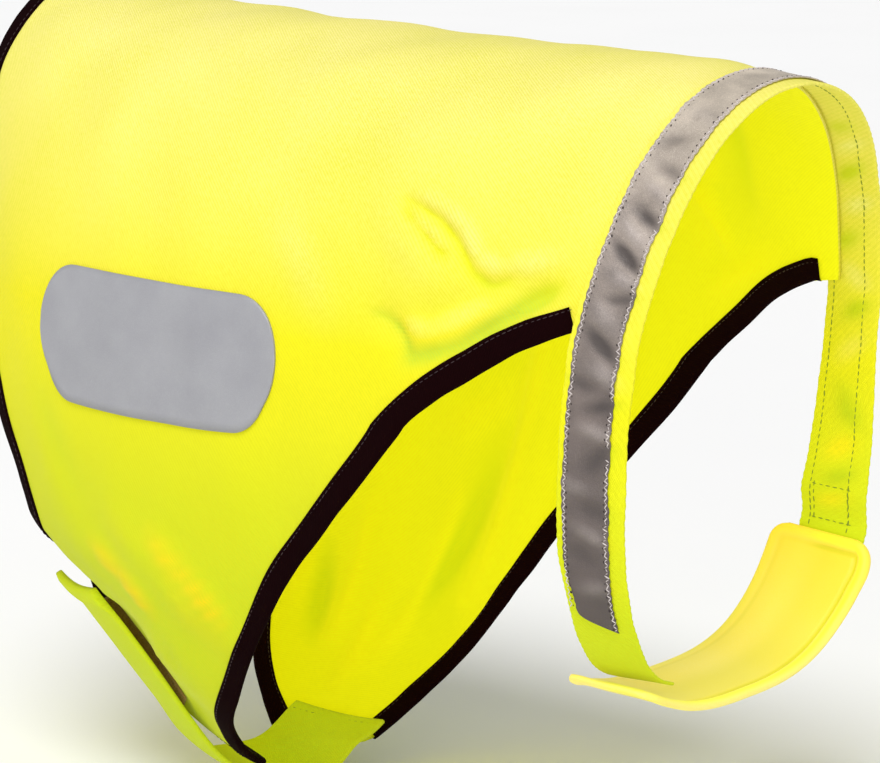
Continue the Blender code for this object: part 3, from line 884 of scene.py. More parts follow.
def beaded_finish(name, light, dark, roughness, metallic, grain, bump, rows=None, crinkle=0.0):
    """Retro-reflective film: a grey coat of tiny glass beads over cloth. With rows, its light colour
    changes with the height as painted light and shade, and its puckers get painted shade in their
    troughs and a painted highlight on their ridges. The crinkle is how strongly its surface is rumpled."""
    material, tree, shader = blank_material(name, light, roughness)
    cloth = wire(tree, "ShaderNodeUVMap", {}, uv_map="cloth").outputs[0]
    beads = wire(tree, "ShaderNodeTexVoronoi", {"Vector": cloth, "Scale": 1 / grain})
    place = wire(tree, "ShaderNodeTexCoord", {}).outputs["Object"]
    slow = wire(tree, "ShaderNodeTexNoise", {"Vector": place, "Scale": WEAR_SCALE, "Detail": 4.0})
    share = maths(tree, "MULTIPLY_ADD", beads.outputs["Distance"], BEAD_STRENGTH, slow.outputs["Fac"])
    share = maths(tree, "SUBTRACT", share, BEAD_DARKENING)
    if rows:
        light = painted_light_by_height(tree, place, rows)
        light = fold_shade_and_highlight(tree, light, dark, TAPE_RIDGE_HIGHLIGHT)
    colour = mix_colours(tree, share, dark, light)
    tree.links.new(colour, shader.inputs["Base Color"])
    worn = maths(tree, "MULTIPLY_ADD", slow.outputs["Fac"], WEAR_STRENGTH, roughness - WEAR_MIDDLE)
    tree.links.new(worn, shader.inputs["Roughness"])
    shader.inputs["Metallic"].default_value = metallic
    rumpled = maths(tree, "MULTIPLY_ADD", slow.outputs["Fac"], crinkle, beads.outputs["Distance"])
    relief = wire(tree, "ShaderNodeBump", {"Height": rumpled, "Strength": bump})
    relief.inputs["Distance"].default_value = BEAD_DEPTH
    tree.links.new(relief.outputs["Normal"], shader.inputs["Normal"])
    return material


# The dark colour is also the painted shade in the troughs of the tape's puckers.
reflective_tape = beaded_finish(
    "reflective_tape", (0.30, 0.25, 0.23), (0.06, 0.048, 0.045),
    roughness=0.44, metallic=0.2, grain=0.35 * MM, bump=0.8, rows=TAPE_PAINTED_LIGHT, crinkle=9.0,
)
reflective_patch = beaded_finish(
    "reflective_patch", (0.37, 0.37, 0.39), (0.27, 0.27, 0.295),
    roughness=0.5, metallic=0.2, grain=0.4 * MM, bump=0.3,
)
print("tape and patch finishes made")

# %% Foam, pile and thread
SOFT_DRIFT_SCALE = 22.0
SOFT_DEPTH = 0.2 * MM
SOFT_SHEEN_TINT = (1.0, 1.0, 0.8, 1.0)


def soft_finish(name, light, dark, roughness, grain, bump, glow=None, sheen=0.0, groove=None,
                rim=None, light_and_shade_rows=None):
    """A finish without a weave: foam-backed cloth, pile or thread. A groove and a rim colour paint shade
    on the places that lie low and a highlight on those that stand up, and a table of painted light
    changes the light colour with the height."""
    material, tree, shader = blank_material(name, light, roughness)
    place = wire(tree, "ShaderNodeTexCoord", {}).outputs["Object"]
    fine = wire(tree, "ShaderNodeTexNoise", {"Vector": place, "Scale": 1 / grain, "Detail": 3.0})
    slow = wire(tree, "ShaderNodeTexNoise", {"Vector": place, "Scale": SOFT_DRIFT_SCALE, "Detail": 2.0})
    half_slow = maths(tree, "MULTIPLY", slow.outputs["Fac"], 0.5)
    share = maths(tree, "MULTIPLY_ADD", fine.outputs["Fac"], 0.5, half_slow)
    if light_and_shade_rows:
        light = painted_light_by_height(tree, place, light_and_shade_rows)
    colour = mix_colours(tree, share, dark, light)
    if groove:
        colour = fold_shade_and_highlight(tree, colour, groove, rim)
    tree.links.new(colour, shader.inputs["Base Color"])
    relief = wire(tree, "ShaderNodeBump", {"Height": fine.outputs["Fac"], "Strength": bump})
    relief.inputs["Distance"].default_value = SOFT_DEPTH
    tree.links.new(relief.outputs["Normal"], shader.inputs["Normal"])
    if sheen:
        shader.inputs["Sheen Weight"].default_value = sheen
        shader.inputs["Sheen Tint"].default_value = SOFT_SHEEN_TINT
    # The glow is emission: painted light that shines whatever lamps fall on the piece.
    if glow:
        shader.inputs["Emission Color"].default_value = (*glow[0], 1.0)
        shader.inputs["Emission Strength"].default_value = glow[1]
    return material


# The groove's colour is painted shade and the rim's a painted highlight, to show the pad's relief.
fastener_pad = soft_finish(
    "fastener_pad", (0.96, 0.84, 0.14), (0.94, 0.72, 0.02),
    roughness=0.55, grain=0.6 * MM, bump=0.15, glow=(FLUORESCENT_PAINTED_GLOW, 0.08), sheen=0.1,
    groove=(0.62, 0.56, 0.004), rim=(0.86, 0.86, 0.02), light_and_shade_rows=PAD_PAINTED_LIGHT,
)
# The pile's brown is partly its own colour and partly painted shade of the gap under the strap.
fastener_pile = soft_finish(
    "fastener_pile", (0.44, 0.25, 0.07), (0.24, 0.14, 0.035),
    roughness=0.95, grain=0.7 * MM, bump=0.8, sheen=0.3,
)
# Thread darkened to paint the shade of its sunk stitches on the yellow webbing.
thread_darkened_as_shade = soft_finish(
    "thread_darkened_as_shade", (0.26, 0.34, 0.01), (0.14, 0.20, 0.01), roughness=0.7, grain=0.3 * MM, bump=0.4,
)
grey_thread = soft_finish(
    "grey_thread", (0.78, 0.72, 0.68), (0.40, 0.34, 0.34), roughness=0.6, grain=1.0 * MM, bump=0.4,
)
# Dark grains that paint the shade inside the needle holes.
needle_hole_shade = soft_finish(
    "needle_hole_shade", (0.05, 0.035, 0.035), (0.02, 0.014, 0.014), roughness=0.9, grain=0.3 * MM, bump=0.2,
)
black_thread = soft_finish(
    "black_thread", (0.035, 0.012, 0.016), (0.010, 0.002, 0.004), roughness=0.7, grain=0.4 * MM, bump=0.4,
)
print(len(bpy.data.materials), "materials in the file")

# %% [markdown]
# ## The saddle
# The saddle is the garment: one panel from the near flap's tip over the back to the far flap's tip.
# Its points lie on rows of constant girth, and each row runs from the rear edge to the leg or the
# neck. That keeps the quads along the weave, which a triangulated outline would not. The rows are
# closest over the near shoulder, where the creases are finest. Solidify gives the wall, and puts the
# reverse's finish on its inner face.

# %% Lay the saddle
FINE_GIRTHS = (-205.0 * MM, -110.0 * MM)
FINE_ROW_STEP = 1.6 * MM
ROW_STEP = 4.3 * MM
SADDLE_COLUMNS = 200
TIP_END = 0.998


def row_ends(girth, side):
    """The rear and the front x of the pattern on rows of one side, at their girths."""
    edge = EDGES[side]
    tip = int(np.argmax(edge[:, 1]))
    rear = np.interp(girth, edge[:tip + 1, 1], edge[:tip + 1, 0])
    leg = np.interp(girth, edge[tip:, 1][::-1], edge[tip:, 0][::-1])
    neck = neck_x(side * np.minimum(girth / GIRTH_PER_DEGREE, CORNER_ANGLE))
    return rear, np.where(girth < CORNER_ANGLE * GIRTH_PER_DEGREE, neck, leg)


def make_saddle():
    """The panel, from the near tip to the far tip."""
    tips = {side: EDGES[side][:, 1].max() * TIP_END for side in (-1, 1)}
    low, high = FINE_GIRTHS
    girth = np.unique(np.concatenate([
        np.linspace(-tips[-1], low, round((low + tips[-1]) / ROW_STEP)),
        np.linspace(low, high, round((high - low) / FINE_ROW_STEP)),
        np.linspace(high, tips[1], round((tips[1] - high) / ROW_STEP)),
    ]))
    rear, front = np.zeros(len(girth)), np.zeros(len(girth))
    for side in (-1, 1):
        rows = girth * side >= 0
        rear[rows], front[rows] = row_ends(np.abs(girth[rows]), side)
    share = np.linspace(0, 1, SADDLE_COLUMNS)
    x = rear[:, None] + (front - rear)[:, None] * share
    flat = np.stack([x, np.broadcast_to(girth[:, None], x.shape)], axis=-1)
    points = on_saddle(flat, CLOTH_WALL / 2)
    piece = make_sheet("saddle_cloth", points, flat, CLOTH_WALL, yellow_cloth, shade_of(*laid(flat)))
    piece.data.materials.append(yellow_reverse)
    piece.modifiers["wall"].material_offset = 1
    return piece


saddle = make_saddle()
print("saddle has", len(saddle.data.polygons), "quads before its wall")

# %% [markdown]
# ## The black binding
# A strip of cloth cut on the bias is folded over the raw edge and sewn through. It stands a little
# proud, is rounded at the fold, and is never quite even in width. A ribbon with a U section follows
# the edge, and a slow noise varies how far it reaches in. A plain bevelled edge would lack the step
# that the tape makes on the cloth. Both ends stop under the neck band's rear edge.

# %% Fold the binding over the edges
BINDING_WIDTH = 8.3 * MM
BINDING_WALL = 0.75 * MM
BINDING_GAP = 0.1 * MM
STRAP_GAP = 44.0 * MM
UNDER_BAND = 1.5 * MM
FOLD_STEPS = 7
WIDTH_UNEVENNESS = 0.045
WIDTH_WAVELENGTH = 22.0 * MM
PLUMP_UNEVENNESS = 0.10
PLUMP_WAVELENGTH = 9.0 * MM


def inwards(run, width):
    """The run moved inwards, to the right of its direction, by a width for each of its points."""
    ahead = np.gradient(run, axis=0)
    ahead /= np.linalg.norm(ahead, axis=1, keepdims=True)
    return run + np.asarray(width)[..., None] * np.stack([ahead[:, 1], -ahead[:, 0]], axis=-1)


def slow_noise(length, wavelength, seed):
    """A smooth random value from -1 to 1 for each length along a run."""
    count = int(length[-1] / wavelength) + 4
    values = np.random.default_rng(seed).uniform(-1, 1, count)
    return smooth(np.arange(count) * wavelength, values, length)


def binding_section():
    """The U's outer and inner faces as (inward, lift), from the outside of the cloth to its inside."""
    middle = CLOTH_WALL / 2
    faces = []
    for grow in (BINDING_GAP + BINDING_WALL, BINDING_GAP):
        radius = middle + grow
        soft = 0.35 * BINDING_WALL if grow > BINDING_GAP else 0.0
        inward = np.array([1.0, 0.97, 0.85, 0.6, 0.35, 0.15]) * BINDING_WIDTH
        lift = radius + np.array([-soft, 0.0, 0.12 * MM, 0.16 * MM, 0.12 * MM, 0.05 * MM]) * (soft > 0)
        turn = np.radians(np.linspace(90, 270, FOLD_STEPS))
        bend = np.stack([radius * np.cos(turn), radius * np.sin(turn)], axis=-1)
        top = np.stack([inward, lift], axis=-1)
        below = np.stack([inward, -lift], axis=-1)[::-1]
        faces.append(np.concatenate([top, bend, below]) + (0.0, middle))
    return np.concatenate([faces[0], faces[1][::-1]])


def make_binding(name, run, seed):
    """Bias binding over the edge that the run follows, with the cloth on the run's right."""
    length = lengths_along(run)
    uneven = 1 + WIDTH_UNEVENNESS * slow_noise(length, WIDTH_WAVELENGTH, seed)
    plump = 1 + PLUMP_UNEVENNESS * slow_noise(length, PLUMP_WAVELENGTH, seed + 1)
    middle = CLOTH_WALL / 2
    lines, cloth = [], []
    for inward, lift in binding_section():
        width = inward * np.where(inward > 0, uneven, plump)
        rise = middle + (lift - middle) * plump
        lines.append(on_saddle(inwards(run, width), rise))
        cloth.append(np.stack([length, np.full_like(length, inward + lift)], axis=-1))
    return make_ribbon(name, np.stack(lines, axis=1), np.stack(cloth, axis=1), black_binding)


def up_to_band(edge, side):
    """A side's edge as far as the neck band's rear edge."""
    tip = int(np.argmax(edge[:, 1]))
    band_edge = band_line("x", side * edge[:, 1] / GIRTH_PER_DEGREE) - BAND_WIDTH / 2 + UNDER_BAND
    clear = edge[:, 0] < band_edge
    clear[:tip] = True
    return edge[clear]


def binding_runs():
    """The near side's edge joined to the far side's rear edge, and the far leg's edge."""
    near = up_to_band(EDGES[-1], -1) * (1, -1)
    far = up_to_band(EDGES[1], 1)
    rear_end = int(np.argmax(far[:, 1]))
    strap_steps = round(STRAP_GAP / EDGE_STEP)
    return np.concatenate([near[::-1][:-1], far[:rear_end]]), far[rear_end + strap_steps:]


edge_run, far_leg_run = binding_runs()
edge_binding = make_binding("edge_binding_cloth", edge_run, 3)
far_leg_binding = make_binding("far_leg_binding_cloth", far_leg_run, 5)
for run in (edge_run, far_leg_run):
    print("binding of", round(lengths_along(run)[-1], 2), "m")

# %% [markdown]
# ## The neck band
# The band is 30 mm webbing sewn over the saddle's front edge. It leaves the saddle at the corners and
# hangs as a loop to the closure pad. Where it crosses the binding's ends it rises over them, and its
# far end twists a little and climbs over the end of the pad. Sewing tape on webbing draws both up
# between the stitches, so one table of puckers serves them both, and the tape shows them in full. A
# noise would spread its wrinkles evenly, while real ones crowd where the band bends.

# %% Lay the band
BAND_WALL = 1.4 * MM
BAND_DRAWN = 0.4
TAPE_WIDTH = 20.0 * MM
TAPE_REAR_MARGIN = 3.0 * MM
TAPE_CENTRE = -BAND_WIDTH / 2 + TAPE_REAR_MARGIN + TAPE_WIDTH / 2
BAND_ENDS = (-151.0, 122.5)
BAND_STEP = 0.45
OVER_CLOTH = CLOTH_WALL + 0.5 * MM
BINDING_CROSSING = 74.0
PAD_CLIMB = 4.2 * MM
PAD_CLIMB_START = 106.0
PAD_CLIMB_END = 115.0
BINDING_CROSSING_SPREAD = 4.0
BAND_TWIST = 0.30
TWIST_START = 78.0
TWIST_SPAN = 32.0
SCALLOP_LENGTH = 4.6 * MM
SCALLOP_DEPTH = 0.25 * MM
WANDER_DEPTH = 0.4 * MM
WANDER_LENGTH = 9.0 * MM
WANDER_SEED = 21
FRONT_SIDE = 1
REAR_SIDE = 2
NARROWING = 3.0 * MM
NARROWING_START = -104.0
NARROWING_SPAN = 14.0
PUCKER_STRENGTH = 1.35
PUCKER_SLANT = 3.2
PUCKER_SHARPNESS = 2.7
PUCKER_SPREAD = 0.75
PUCKER_SHADE_DEPTH = 1.7 * MM
TAPE_CLEARANCE = 0.35 * MM
PUCKER_COLUMNS = ("angle", "across", "slant", "width", "height")
PUCKERS = (
    (-26, 0.2, 0.3, 6, 0.5),
    (-34, -0.3, -0.5, 5, -0.7),
    (-41, 0.4, 0.4, 4, -0.8),
    (-46, 0.3, 0.6, 4, 0.9),
    (-51, 0.4, 0.6, 4, -1.3),
    (-55, 0.0, 0.8, 4, 1.2),
    (-59, 0.1, 0.8, 4, -1.8),
    (-63, 0.2, 0.4, 4, 1.3),
    (-67, 0.5, -0.3, 3, -1.0),
    (-70, -0.1, 0.7, 5, 1.2),
    (-74, 0.1, 0.8, 4, -1.8),
    (-78, 0.4, 0.5, 4, 1.3),
    (-81, -0.5, 0.3, 3, -0.9),
    (-84, 0.5, -0.2, 3, -1.3),
    (-87, 0.4, 0.3, 3, 1.0),
    (-91, 0.5, -0.4, 3, -1.2),
    (-94, -0.5, 0.2, 3, 0.7),
    (-97, 0.4, 0.2, 4, -0.9),
    (-101, 0.3, 0.5, 4, 0.7),
    (-106, -0.2, 0.5, 6, -0.7),
    (-113, 0.4, -0.2, 5, 0.6),
    (34, 0.2, 0.5, 7, -0.9),
    (41, 0.5, 0.7, 5, 1.3),
    (48, 0.3, 0.8, 6, -1.5),
    (56, 0.6, 0.5, 5, 1.4),
    (63, -0.1, 0.6, 6, -1.2),
    (70, 0.4, -0.4, 6, 1.4),
    (77, 0.5, 0.5, 5, -1.4),
    (84, 0.3, 0.6, 5, 1.5),
    (91, 0.5, -0.5, 6, -1.3),
    (98, 0.2, 0.5, 6, 1.4),
    (104, 0.4, 0.5, 5, -1.3),
    (109, 0.1, 0.4, 5, 0.9),
)


def pucker(angle, across):
    """How far the sewn tape draws up at an angle. The place across it runs from -1 to 1."""
    lift = np.zeros(np.broadcast(angle, across).shape)
    for at, middle, slant, width, height in PUCKERS:
        along = (angle - at) + slant * PUCKER_SLANT * across
        side = (across - middle) / PUCKER_SPREAD
        shape = np.exp(-((along * PUCKER_SHARPNESS / width) ** 2) - side ** 2)
        lift = lift + PUCKER_STRENGTH * height * MM * shape
    return lift


def band_rise(angle):
    """The lift of the band's underside over what it lies on. Its far end climbs over the pad's."""
    crossing = np.exp(-(((np.abs(angle) - BINDING_CROSSING) / BINDING_CROSSING_SPREAD) ** 2))
    over_pad = PAD_CLIMB * ease((angle - PAD_CLIMB_START) / (PAD_CLIMB_END - PAD_CLIMB_START))
    return OVER_CLOTH + crossing * BINDING_WALL + band_line("lift", angle) + over_pad


def edge_drift(angle, side):
    """How far the tape's sewn edge wanders across the band: small scallops between the stitches. Its
    rear edge also draws in at the near end."""
    length = angle * GIRTH_PER_DEGREE
    scallop = SCALLOP_DEPTH * np.sin(2 * math.pi * length / SCALLOP_LENGTH + side)
    wander = WANDER_DEPTH * slow_noise(length - length.min(), WANDER_LENGTH, WANDER_SEED + side)
    narrowed = NARROWING * ease((NARROWING_START - angle) / NARROWING_SPAN) * (side == REAR_SIDE)
    return scallop + wander + narrowed


def on_band(angle, across, lift):
    """Points on the band: an angle round the neck, metres from its centre line, metres off its
    underside. Its far end twists a little, with the front edge outwards."""
    twist = BAND_TWIST * ease((angle - TWIST_START) / TWIST_SPAN) * across
    return on_form(band_line("x", angle) + across, angle, lift + band_rise(angle) + twist)


def make_band_strip(name, ends, centre, section, material, drawn, slant=0.0, drift=0.0):
    """A ribbon along the band. The share drawn says how strongly the puckers move it, the slant turns
    its near end, and the drift says how far its edges wander. It is held clear of what is under it."""
    half = section[:, 0].max()
    angles = np.arange(ends[0], ends[1], BAND_STEP)
    lines, cloth, shade = [], [], []
    for across, lift in section:
        place = across / half
        first = ends[0] - slant * ((place + 1) / 2) ** 0.6
        along = ends[1] - (ends[1] - angles) * (ends[1] - first) / (ends[1] - ends[0])
        draw = pucker(along, (centre + across - TAPE_CENTRE) / (TAPE_WIDTH / 2))
        beside = drift * abs(place) ** 3 * edge_drift(angles, FRONT_SIDE if place > 0 else REAR_SIDE)
        held = np.maximum(drawn * draw, BAND_DRAWN * draw - TAPE_CLEARANCE)
        lines.append(on_band(along, centre + across + beside, lift + held))
        girth = along * GIRTH_PER_DEGREE
        cloth.append(np.stack([girth, np.full_like(girth, across)], axis=-1))
        # How deep in a pucker each point lies, for the painted shade and highlight of the finishes.
        shade.append(np.clip(draw / PUCKER_SHADE_DEPTH, -1, 1))
    cloth = np.stack(cloth, axis=1)
    return make_ribbon(name, np.stack(lines, axis=1), cloth, material, np.stack(shade, axis=1))


band_section = flat_section(BAND_WIDTH, BAND_WALL, 15) + (0.0, BAND_WALL / 2)
band = make_band_strip(
    "neck_band_webbing", BAND_ENDS, 0.0, band_section, yellow_webbing, drawn=BAND_DRAWN, drift=0.6,
)
print("band has", len(band.data.polygons), "faces and", len(PUCKERS), "puckers, each with", PUCKER_COLUMNS)

# %% [markdown]
# ## The reflective tape
# The tape is thin and stiff, so it wrinkles between its two rows of stitches, most where the band
# bends most. It is its own ribbon on the band's outer face, with the puckers at full height. Its near
# end is cut on a slant, and its sewn edges wander in small scallops between the stitches.

# %% Lay the tape
TAPE_WALL = 0.6 * MM
TAPE_ENDS = (-118.5, 109.0)
TAPE_SLANT = 5.5
TAPE_GAP = 0.45 * MM

tape_section = flat_section(TAPE_WIDTH, TAPE_WALL, 21) + (0.0, BAND_WALL + TAPE_GAP + TAPE_WALL / 2)
tape = make_band_strip(
    "reflective_tape_strip", TAPE_ENDS, TAPE_CENTRE, tape_section, reflective_tape,
    drawn=1.0, slant=TAPE_SLANT, drift=1.0,
)
print("tape has", len(tape.data.polygons), "faces")

# %% [markdown]
# ## The closure pad and the belly strap
# Both are strips that leave the saddle's surface, so each is ruled between two edges, and each edge
# is a short table of places. A bent box could not twist as they do. The pad is foam between two
# cloths, and its rim stands up on the inner face, with a groove inside it where it is sewn. The
# strap is plain webbing that starts inside the far flap's tip and is turned under at its other end.

# %% Rule a strip between two edges
PAD_COLUMNS = ("angle", "x_rear", "x_front", "lift_rear", "lift_front")
PAD = (
    (117, -15, 29, -2.4, 9.4),
    (120, -17, 31, -2.2, 9.2),
    (125, -19, 33, -1.0, 7.6),
    (133, -21, 33, 0.2, 4.4),
    (150, -22, 31, 0.0, 3.0),
    (180, -22, 29, -1.0, 4.0),
    (203, -21, 27, 3.0, 8.0),
    (214, -20, 26, 8.5, 11.5),
    (220, -18, 24, 11.0, 14.5),
)
STRAP_COLUMNS = ("angle_rear", "x_rear", "lift_rear", "angle_front", "x_front", "lift_front")
STRAP = (
    (170, -252, -3.3, 162, -208, -3.5),
    (175, -252, -3.3, 168, -208, -3.5),
    (178, -252, -2.6, 172, -209, -3.3),
    (181, -252, 2.5, 177, -210, 0.5),
    (185, -254, 12.0, 183, -213, 6.0),
    (189, -258, 16.5, 190, -220, 11.0),
    (193, -266, 15.0, 200.5, -230, 7.5),
    (199, -279, 7.5, 211.5, -239, 1.5),
    (207, -296, 3.0, 220.5, -250, -2.0),
    (214, -310, 2.0, 227.5, -266, -3.2),
    (219, -320, 3.6, 231.5, -285, -3.0),
)


def rows_of(columns, rows, angle, x, lift):
    """One edge of a strip, from three named columns of its table, as rows of (angle, x, lift)."""
    strip = table(columns, rows)
    return np.stack([strip[angle], strip[x], strip[lift]], axis=-1)


pad_edges = (
    rows_of(PAD_COLUMNS, PAD, "angle", "x_rear", "lift_rear"),
    rows_of(PAD_COLUMNS, PAD, "angle", "x_front", "lift_front"),
)
strap_edges = (
    rows_of(STRAP_COLUMNS, STRAP, "angle_rear", "x_rear", "lift_rear"),
    rows_of(STRAP_COLUMNS, STRAP, "angle_front", "x_front", "lift_front"),
)


def on_strip(edges, station, share, lift):
    """Points on a ruled strip: stations along it, a share across it and metres off its middle."""
    rows = np.arange(len(edges[0]), dtype=float)
    ends = [[smooth(rows, edge[:, k], station) for k in range(3)] for edge in edges]
    angle, x, rise = (first + (second - first) * share for first, second in zip(*ends))
    return on_form(x * MM, angle, rise * MM + lift, folded_form)


def strip_stations(edges, step):
    """Stations along a strip at even distances of about one step on its middle."""
    dense = np.linspace(0, len(edges[0]) - 1, 400)
    length = lengths_along(on_strip(edges, dense, 0.5, 0.0))
    count = round(length[-1] / step) + 1
    return np.interp(np.linspace(0, length[-1], count), length, dense), np.linspace(0, length[-1], count)


def make_strip(name, edges, section, material, step, shape):
    """A ribbon ruled between two edges. Its shape is a function that gives the share across, the lift
    and the shade from the length, the whole length, and the plain section's share and lift."""
    station, length = strip_stations(edges, step)
    width = section[:, 0].max() - section[:, 0].min()
    lines, cloth, shades = [], [], []
    for across, lift in section:
        share = np.full_like(station, across / width + 0.5)
        share, rise, shade = shape(length, length[-1], share, np.full_like(station, lift))
        shades.append(shade)
        lines.append(on_strip(edges, station, share, rise))
        cloth.append(np.stack([length, np.full_like(length, across)], axis=-1))
    cloth = np.stack(cloth, axis=1)
    return make_ribbon(name, np.stack(lines, axis=1), cloth, material, np.stack(shades, axis=1))


print("pad of", len(PAD), "places and strap of", len(STRAP))

# %% The pad, with its raised rim
PAD_WIDTH = 51.0 * MM
PAD_WALL = 2.7 * MM
RIM_WIDTH = 5.5 * MM
RIM_RISE = 0.8 * MM
GROOVE_WIDTH = 1.3 * MM
GROOVE_DEPTH = 1.3 * MM
PAD_CORNER = 8.0 * MM
PAD_EDGE_THINNING = 2.2 * MM
PAD_EDGE_WALL_SHARE = 0.35
CORNER_TRIM = 0.85
REAR_RIM_SHARE = 0.25
RIM_START = 0.3
RIM_SPAN = 0.3
OUTER_RIM_SHARE = 0.3
GROOVE_SHADE = 1.4


def from_rim(length, whole, share):
    """How far a place on the pad lies in from its rounded outline."""
    side = PAD_WIDTH * (0.5 - np.abs(share - 0.5))
    end = np.minimum(length, whole - length)
    corner = PAD_CORNER - np.hypot(np.maximum(PAD_CORNER - side, 0), np.maximum(PAD_CORNER - end, 0))
    return np.minimum(np.minimum(side, end), np.maximum(corner, 0) + 1e-6)


def pad_shape(length, whole, share, lift):
    """Rounds the pad's corners, raises its rim on the inner face and sinks a groove inside the rim.
    Both are full at the front, and slight at the rear."""
    end = np.minimum(length, whole - length)
    cut = PAD_CORNER - np.sqrt(np.maximum(PAD_CORNER ** 2 - np.maximum(PAD_CORNER - end, 0) ** 2, 0))
    share = 0.5 + (share - 0.5) * (1 - 2 * CORNER_TRIM * cut / PAD_WIDTH)
    inside = from_rim(length, whole, share)
    front = REAR_RIM_SHARE + (1 - REAR_RIM_SHARE) * ease((share - RIM_START) / RIM_SPAN)
    rim = front * np.exp(-(((inside - 0.5 * RIM_WIDTH) / (0.4 * RIM_WIDTH)) ** 2))
    groove = front * np.exp(-(((inside - RIM_WIDTH - GROOVE_WIDTH) / GROOVE_WIDTH) ** 2))
    inner_face = lift - RIM_RISE * rim + GROOVE_DEPTH * groove
    outer_face = lift + OUTER_RIM_SHARE * RIM_RISE * rim
    rise = np.where(lift < 0, inner_face, outer_face)
    full = ease(end / PAD_EDGE_THINNING)
    rise = rise * (PAD_EDGE_WALL_SHARE + (1 - PAD_EDGE_WALL_SHARE) * full)
    # The shade: a painted highlight on the rim and painted shade in the groove.
    return share, rise, np.clip(rim - GROOVE_SHADE * groove, -1, 1)


pad_section = flat_section(PAD_WIDTH, PAD_WALL, 49, 0.48)
pad = make_strip("closure_pad_foam", pad_edges, pad_section, fastener_pad, 1.2 * MM, pad_shape)
print("pad has", len(pad.data.polygons), "faces")

# %% The belly strap
STRAP_WIDTH = 38.0 * MM
STRAP_WALL = 2.4 * MM
HEM_PLACE = 5.0 * MM
HEM_LENGTH = 5.0 * MM
HEM_THICKENING = 0.25
TURNED_PLACE = 5.0 * MM
TURNED_LENGTH = 6.0 * MM
TURNED_RISE = 2.0 * MM
CUP_DEPTH = 0.6 * MM
CUP_START = 30.0 * MM


def strap_shape(length, whole, share, lift):
    """Thickens the strap's two ends, where the webbing is turned under, and lets it cup a little."""
    hem = HEM_THICKENING * np.exp(-(((length - HEM_PLACE) / HEM_LENGTH) ** 2))
    from_end = whole - length
    turned = TURNED_RISE * np.exp(-(((from_end - TURNED_PLACE) / TURNED_LENGTH) ** 2)) * (lift > 0)
    clear = ease(length / CUP_START) * ease(from_end / CUP_START)
    cup = -CUP_DEPTH * np.cos(math.pi * (share - 0.5)) * clear
    return share, lift * (1 + hem) + turned + cup, np.zeros_like(length)


strap_section = flat_section(STRAP_WIDTH, STRAP_WALL, 17)
strap = make_strip("belly_strap_webbing", strap_edges, strap_section, yellow_webbing, 2.0 * MM, strap_shape)
print("strap has", len(strap.data.polygons), "faces")

# %% [markdown]
# ## What lies flat on the near flap
# A silver-grey bar with round ends is pressed on the flap, and a rectangle of brown pile is sewn
# under the strap's end; its brown is partly its own colour and partly painted shade of the gap under
# the strap. Both are laid through the flat pattern, so they bend with the cloth, which a flat piece
# wrapped on afterwards would do less exactly.

# %% The reflective patch
PATCH_LENGTH = 150.0 * MM
PATCH_HEIGHT = 46.0 * MM
PATCH_WALL = 0.9 * MM
PATCH_PLACE = (-219.0 * MM, -84.5 * GIRTH_PER_DEGREE)
PATCH_GAP = 0.06 * MM
PATCH_END_HALF = 0.5 * MM
PATCH_END_THINNING = 0.55
PATCH_THIN_UNDER = 3.0 * MM


def make_patch():
    """A bar with round ends, swept along its length. Its section runs from -1 to 1 across, times a
    half height that follows the round ends."""
    radius = PATCH_HEIGHT / 2
    straight = PATCH_LENGTH / 2 - radius
    turn = np.linspace(0.04, math.pi / 2, 16)
    end = straight + radius * np.cos(turn)
    along = np.concatenate([-end, np.linspace(-straight, straight, 48)[1:-1], end[::-1]])
    beyond = np.maximum(np.abs(along) - straight, 0)
    half = np.sqrt(np.maximum(radius ** 2 - beyond ** 2, PATCH_END_HALF ** 2))
    lines, cloth = [], []
    for across, lift in flat_section(2.0, PATCH_WALL, 21, 0.40):
        flat = np.stack([PATCH_PLACE[0] + along, PATCH_PLACE[1] + across * half], axis=-1)
        edge = 1 - PATCH_END_THINNING * (lift > 0) * (half < PATCH_THIN_UNDER)
        rise = CLOTH_WALL + PATCH_GAP + PATCH_WALL / 2 + lift * edge
        lines.append(on_saddle(flat, rise))
        cloth.append(flat)
    cloth = np.stack(cloth, axis=1)
    return make_ribbon("reflective_patch_film", np.stack(lines, axis=1), cloth, reflective_patch)


patch = make_patch()
print("patch has", len(patch.data.polygons), "faces")

# %% The fastener pile's backing
PILE_LENGTH = 54.0 * MM
PILE_WIDTH = 34.0 * MM
PILE_WALL = 1.0 * MM
PILE_PLACE = (-269.5 * MM, -149.3 * GIRTH_PER_DEGREE)
PILE_TURN = math.radians(-29.0)
PILE_GAP = 0.1 * MM


def on_pile(along, across, lift):
    """Points on the pile's rectangle, at a lift from the saddle's outer face."""
    x = PILE_PLACE[0] + along * math.cos(PILE_TURN) - across * math.sin(PILE_TURN)
    girth = PILE_PLACE[1] + along * math.sin(PILE_TURN) + across * math.cos(PILE_TURN)
    return on_saddle(np.stack(np.broadcast_arrays(x, girth), axis=-1), CLOTH_WALL + lift)


def make_pile():
    """The backing that the pile stands on."""
    along = np.linspace(-PILE_LENGTH / 2, PILE_LENGTH / 2, 30)
    lines, cloth = [], []
    for across, lift in flat_section(PILE_WIDTH, PILE_WALL, 15) + (0.0, PILE_WALL / 2 + PILE_GAP):
        lines.append(on_pile(along, across, lift))
        cloth.append(np.stack([along, np.full_like(along, across)], axis=-1))
    cloth = np.stack(cloth, axis=1)
    return make_ribbon("fastener_pile_backing", np.stack(lines, axis=1), cloth, fastener_pile)


pile = make_pile()
print("pile's backing has", len(pile.data.polygons), "faces")

